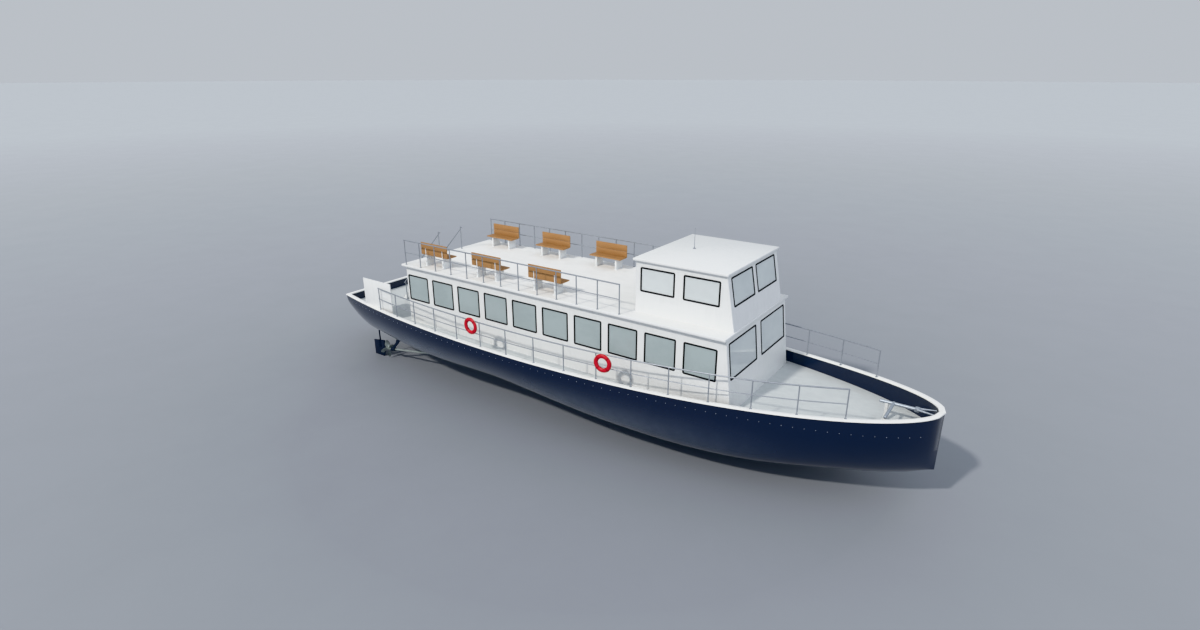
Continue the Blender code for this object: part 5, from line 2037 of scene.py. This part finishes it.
@dataclass(frozen=True)
class Anchor:
    """The anchor that lies stowed at the bow, on its chock."""

    z: float = 1.40
    aft_x: float = 11.00
    fork_x: float = 12.10
    stock_x: float = 11.40
    stock_y: Pair = (0.06, -1.10)
    shank: float = 0.053
    stock: float = 0.048
    crown: float = 0.072
    arm_root: Pair = (0.045, 0.01)
    arm_tip: Triple = (12.60, 0.17, 0.03)
    arm: Pair = (0.040, 0.020)
    arm_end: float = 0.021
    chock: tuple[tuple[Triple, Triple, float], ...] = (
        # low corner, high corner, softness of the block and of its foot
        ((11.16, -0.05, 0.74), (11.26, 0.05, 1.38), 0.012),
        ((11.10, -0.11, 0.74), (11.32, 0.11, 0.76), 0.006),
    )

    def build(self) -> None:
        """Make the shank, stock, crown and arms, and the chock that they rest on."""
        form = Form().rod((self.aft_x, 0, self.z), (self.fork_x, 0, self.z), self.shank, 20)
        form.ball((self.aft_x, 0, self.z), self.shank, (0.5, 1, 1))
        near, far = ((self.stock_x, y, self.z) for y in self.stock_y)
        form.rod(near, far, self.stock, 20)
        form.ball(far, self.stock, (1, 0.5, 1))
        crown = self.crown
        low = (self.fork_x - crown, -crown, self.z - crown)
        form.box(low, (self.fork_x + crown, crown, self.z + crown), 0.02)
        (root_y, root_rise), (tip_x, tip_y, tip_rise) = self.arm_root, self.arm_tip
        thick, thin = self.arm
        for side in Side:
            tip = (tip_x, side.value * tip_y, self.z + tip_rise)
            form.rod((self.fork_x, side.value * root_y, self.z + root_rise), tip, thick, 16, thin)
            form.ball(tip, self.arm_end)
        anchor = form.done()
        place_piece("stowed_anchor", anchor, ZINC, replaces=("anchor",))
        chock = Form()
        for low, high, soft in self.chock:
            chock.box(low, high, soft)
        place_piece("anchor_chock", chock.done(), WHITE)


@dataclass(frozen=True)
class SternGear:
    """One side's propeller with its shaft, the strut that holds it, and the rudder."""

    side: Side
    offset_y: float = 2.07
    slope: float = 0.159
    hub_x: float = -10.86
    hub_z: float = -1.39
    hub_radius: float = 0.085
    hub_length: float = 0.20
    shaft_radius: float = 0.045
    shaft_end_x: float = -6.20
    blades: int = 4
    propeller_radius: float = 0.42
    pitch: float = 0.60
    chord: float = 0.25
    blade_thickness: float = 0.028
    blade_root: float = 0.05
    strut_x: float = -10.45
    barrel: tuple[Pair, ...] = ((0.052, -1), (0.085, -1), (0.085, 1), (0.052, 1))
    barrel_half: float = 0.13
    arm: tuple[tuple[float, float, float, float], ...] = (
        # x, z, chord, half thickness, from the barrel's top up to the hull
        (-10.45, -1.24981, 0.20, 0.026),
        (-10.15, -0.95, 0.22, 0.028),
        (-9.865, -0.46, 0.32, 0.032),
    )
    palm: tuple[Triple, Triple] = ((-10.05, -0.10, -0.54), (-9.65, 0.10, -0.20))
    stock_x: float = -11.40
    stock_radius: float = 0.032
    rudder_x: Pair = (-11.84, -11.07)
    rudder_z: Pair = (-1.86, -1.02)
    rudder_half: float = 0.03
    toe: Pair = (0.14, 0.30)
    notch: Pair = (0.07, -1.44)

    def build(self) -> None:
        """Make the pieces of this side."""
        self.propeller()
        self.strut()
        self.rudder()

    @property
    def y(self) -> float:
        """Where the shaft is across the boat."""
        return self.side.value * self.offset_y

    @property
    def direction(self) -> Vector:
        """The way that the shaft points, forward and up."""
        return Vector((1, 0, self.slope)).normalized()

    def on_shaft(self, x: float) -> Vector:
        """A point on the shaft's axis."""
        return Vector((x, self.y, self.hub_z + (x - self.hub_x) * self.slope))

    def propeller(self) -> None:
        """Make the shaft, hub, cone and blades."""
        hub, half = self.on_shaft(self.hub_x), self.direction * self.hub_length / 2
        form = Form().rod(hub, self.on_shaft(self.shaft_end_x), self.shaft_radius, 24)
        form.rod(hub - half, hub + half, self.hub_radius * 0.75, 28, self.hub_radius)
        turn = self.direction.to_track_quat("Z", "Y").to_matrix().to_4x4()
        for index in range(self.blades):
            spin = Matrix.Rotation(2 * math.pi * index / self.blades, 4, "Z")
            place = Matrix.Translation(hub) @ turn @ spin
            form.loft([[place @ point for point in ring] for ring in self.blade()])
        name, node = f"screw_{self.side.label}", f"propeller_{self.side.label}"
        place_piece(name, form.done(), BRONZE, Body(node), (node,))

    def blade(self) -> list[list[Vector]]:
        """Give the rings of one blade, from its root to its tip.

        Returns:
            The rings.
        """
        rings = []
        rows = 12
        for step in range(rows + 1):
            part = step / rows
            radius = self.blade_root + (self.propeller_radius - self.blade_root) * part
            lean = self.side.value * math.atan2(self.pitch, 2 * math.pi * radius)
            chord = self.chord * (0.42 + 0.58 * math.sin(math.pi * part**0.9)) * (1 - 0.2 * part**4)
            thick = self.blade_thickness * (1 - 0.7 * part)
            ring = []
            for wide, out in circle(12):
                along, off = chord * wide / 2, thick * out / 2
                across = along * math.cos(lean) - off * math.sin(lean)
                axial = along * math.sin(lean) + off * math.cos(lean)
                ring.append(Vector((radius, across, axial)))
            rings.append(ring)
        return rings

    def strut(self) -> None:
        """Make the strut: a bearing barrel on a foil-shaped arm under a flat palm."""
        centre = self.on_shaft(self.strut_x)
        reach = Vector((1, 0, self.slope)) * self.barrel_half
        rings = [self.hoop(centre + reach * way, radius) for radius, way in self.barrel]
        form = Form().loft(rings, closed=True)
        form.loft([self.foil(*row) for row in self.arm])
        low, high = ((x, self.y + y, z) for x, y, z in self.palm)
        form.box(low, high, 0.008)
        name, nodes = f"strut_{self.side.label}", (f"shaft_strut_{self.side.label}",)
        place_piece(name, form.done(), GEAR_NAVY, replaces=nodes)

    def hoop(self, centre: Vector, radius: float) -> list[Vector]:
        """Give a circle square to the shaft.

        Args:
            centre: its middle.
            radius: its radius.

        Returns:
            Its points.
        """
        side = Vector((0, 1, 0))
        up = self.direction.cross(side)
        return [centre + (side * wide + up * high) * radius for wide, high in circle(28)]

    def foil(self, x: float, z: float, chord: float, half: float) -> list[Vector]:
        """Give a level ring with a rounded front and a thin back.

        Args:
            x: its middle along the boat.
            z: its height.
            chord: its length.
            half: half its thickness.

        Returns:
            Its points.
        """
        found = []
        for along, out in circle(20):
            thin = (0.55 + 0.45 * along) ** 0.6
            found.append(Vector((x + chord / 2 * along, self.y + half * out * thin, z)))
        return found

    def rudder(self) -> None:
        """Make the blade, rounded all round, with its stock."""
        (low_x, high_x), (low_z, high_z) = self.rudder_x, self.rudder_z
        (toe_x, toe_z), (half, notch_z) = self.toe, self.notch
        outline = (
            (low_x, low_z),
            (high_x - toe_x, low_z),
            (high_x, low_z + toe_z),
            (high_x, high_z),
            (self.stock_x + half, high_z - 0.02),
            (self.stock_x + half, notch_z),
            (self.stock_x - half, notch_z),
            (self.stock_x - half, high_z - 0.05),
            (low_x, high_z - 0.10),
        )
        y, thick = self.y, self.rudder_half
        form = Form().prism(outline, Axis.Y, y - thick, y + thick, 0.014)
        foot = (self.stock_x, y, notch_z - 0.10)
        form.rod(foot, (self.stock_x, y, 0), self.stock_radius, 20)
        node = f"rudder_{self.side.label}"
        place_piece(f"blade_{node}", form.done(), GEAR_NAVY, Body(node), (node,))


@dataclass(frozen=True)
class Studio:
    """A plain pale floor, soft light, and the camera at the photograph's angle."""

    floor_z: float = -1.862
    floor_radius: float = 900.0
    eye: Triple = (14.741, -20.833, 11.273)
    look: Triple = (-0.5391, 0.7696, -0.3423)
    lens: float = 20.27
    sun_way: Triple = (0.30, 1.10, -1.0)
    sun_strength: float = 2.0
    sun_spread: float = 3.0
    sky_colour: str = "#c1c6cc"
    fill_way: Triple = (-1.0, 0.35, -0.45)
    fill_strength: float = 1.15
    fill_spread: float = 120.0

    def build(self) -> None:
        """Make the floor, the lights and the camera."""
        bpy.context.scene.view_settings.view_transform = "Khronos PBR Neutral"
        self.floor()
        self.sky()
        self.light("key", self.sun_way, self.sun_strength, self.sun_spread, "#fff8ef")
        self.light("fill", self.fill_way, self.fill_strength, self.fill_spread, "#eef3ff")
        self.camera()

    def floor(self) -> None:
        """Make the floor, a wide disc."""
        mesh = bmesh.new()
        bmesh.ops.create_circle(mesh, cap_ends=True, segments=96, radius=self.floor_radius)
        bmesh.ops.translate(mesh, verts=mesh.verts, vec=(0, 0, self.floor_z))
        data = bpy.data.meshes.new("studio_floor")
        mesh.to_mesh(data)
        mesh.free()
        finish = FloorPaint(
            "studio_floor_paint", "#92979f", "#8e939b", 0.6, contrast=0.4,
            patch=(3.0, 3.0, 3.0), grain=(0.4, 0.4, 0.4), depth=0.0001,
        )  # fmt: skip
        data.materials.append(finish.material())
        linked("studio_floor", data)

    def sky(self) -> None:
        """Make the even light from all round, of the colour that the far floor fades to."""
        world = bpy.data.worlds.new("studio")
        world.use_nodes = True
        tree = world.node_tree
        tree.nodes.clear()
        inputs = {"Color": linear(self.sky_colour), "Strength": 1.0}
        glow = add_node(tree, "ShaderNodeBackground", inputs=inputs)
        add_node(tree, "ShaderNodeOutputWorld", inputs={0: glow.outputs[0]})
        bpy.context.scene.world = world

    def light(self, name: str, way: Point, strength: float, spread: float, colour: str) -> None:
        """Add a far light.

        Args:
            name: its name.
            way: the direction that it shines in.
            strength: its strength.
            spread: the angle that it is seen under, in degrees: a wide one is soft.
            colour: its colour.
        """
        light = bpy.data.lights.new(name, "SUN")
        light.energy = strength
        light.angle = math.radians(spread)
        light.color = linear(colour)[:3]
        holder = linked(name, light)
        holder.rotation_euler = Vector(way).to_track_quat("-Z", "Y").to_euler()

    def camera(self) -> None:
        """Make the camera."""
        lens = bpy.data.cameras.new("camera")
        lens.lens = self.lens
        lens.sensor_width = 36.0
        lens.sensor_fit = "HORIZONTAL"
        lens.clip_end = 2000.0
        holder = linked("camera", lens)
        holder.location = self.eye
        holder.rotation_euler = Vector(self.look).to_track_quat("-Z", "Y").to_euler()
        bpy.context.scene.camera = holder


@dataclass(frozen=True)
class Railings:
    """The rails on the cap rail and on the upper deck, with where their posts stand."""

    lines: HullLines
    main_x: Pair = (-9.68, 10.44)
    main_posts: int = 16
    main_height: float = 0.983
    main_overrun: float = 0.06
    cap_inset: float = 0.10
    bow_inset: float = 0.12
    bow_x: float = 9.0
    cap_height: float = 0.043
    upper_x: float = -8.163
    upper_pitch: float = 0.9135
    upper_posts: int = 13
    upper_y: float = 2.641
    upper_z: float = 3.378
    upper_height: float = 1.065
    upper_overrun: float = 0.03

    def build(self, side: Side) -> None:
        """Make both rails of one side.

        Args:
            side: which side.
        """
        main, upper = self.main_feet(side), self.upper_feet(side)
        Railing(f"main_rail_{side.label}", main, self.main_height, self.main_overrun).build()
        Railing(f"upper_rail_{side.label}", upper, self.upper_height, self.upper_overrun).build()

    def main_feet(self, side: Side) -> tuple[Triple, ...]:
        """Where the main rail's posts stand, from the stern forward.

        Args:
            side: which side.

        Returns:
            Their feet, on the cap rail.
        """
        first, last = self.main_x
        feet = []
        for index in range(self.main_posts):
            x = first + (last - first) * index / (self.main_posts - 1)
            inset = self.cap_inset if x < self.bow_x else self.bow_inset
            y = side.value * (self.lines.half_breadth(x) - inset)
            feet.append((x, y, self.lines.sheer(x) + self.cap_height))
        return tuple(feet)

    def upper_feet(self, side: Side) -> tuple[Triple, ...]:
        """Where the upper rail's posts stand, from the stern forward."""
        along = (self.upper_x + self.upper_pitch * index for index in range(self.upper_posts))
        return tuple((x, side.value * self.upper_y, self.upper_z) for x in along)


def build_pieces() -> None:
    """Build the whole boat, group by group."""
    lines = HullLines()
    Hull(lines).build()
    saloon = Cabin(
        "saloon",
        SideWindows(10, first_x=-8.2125, pitch=1.50, width=1.145, sill=1.80, height=1.059),
        FrontWindows(near=0.232, far=2.320, sill=1.893, head=3.081),
        aft_x=-8.34, front_x=6.90, rake=0.116, rake_z=1.893, half_width=2.52,
        floor_z=0.7403, top_z=3.278,
    )  # fmt: skip
    wheelhouse = Cabin(
        "wheelhouse",
        SideWindows(2, first_x=3.287, pitch=1.644, width=1.252, sill=4.169, height=0.790),
        FrontWindows(near=0.160, far=1.756, sill=4.169, head=5.064),
        aft_x=3.07, front_x=6.765, rake=0.190, rake_z=3.378, half_width=2.028,
        # the wheelhouse side panes get the glass painted lighter, as painted reflection
        floor_z=3.3783, top_z=5.205, side_glass=LIGHTENED_GLASS,
    )  # fmt: skip
    for cabin in (saloon, wheelhouse):
        cabin.build()
    Door("saloon", Body.SALOON_DOOR, saloon.aft_x, -1.895, 0.795, 2.925).build()
    Door("wheelhouse", Body.WHEELHOUSE_DOOR, wheelhouse.aft_x, -0.395, 3.433, 5.095).build()
    SaloonSeats().build()
    UpperDeck().build()
    WheelhouseTop().build()
    Helm().build()
    for side in Side:
        Railings(lines).build(side)
        for number, x in enumerate((-6.80, -3.80, -0.82), start=1):
            Bench(side, number, x).build()
        for number, (x, z) in enumerate(((-3.33, 1.95), (2.73, 1.85)), start=1):
            LifeRing(side, number, x, z, lines).build()
    Stair().build()
    Anchor().build()
    for side in Side:
        SternGear(side).build()


def main() -> None:
    """Build the scene: the studio first, then the boat."""
    logging.basicConfig(level=logging.INFO, format="%(name)s %(message)s")
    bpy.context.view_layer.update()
    Studio().build()
    build_pieces()
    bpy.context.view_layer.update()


if __name__ == "__main__":
    main()
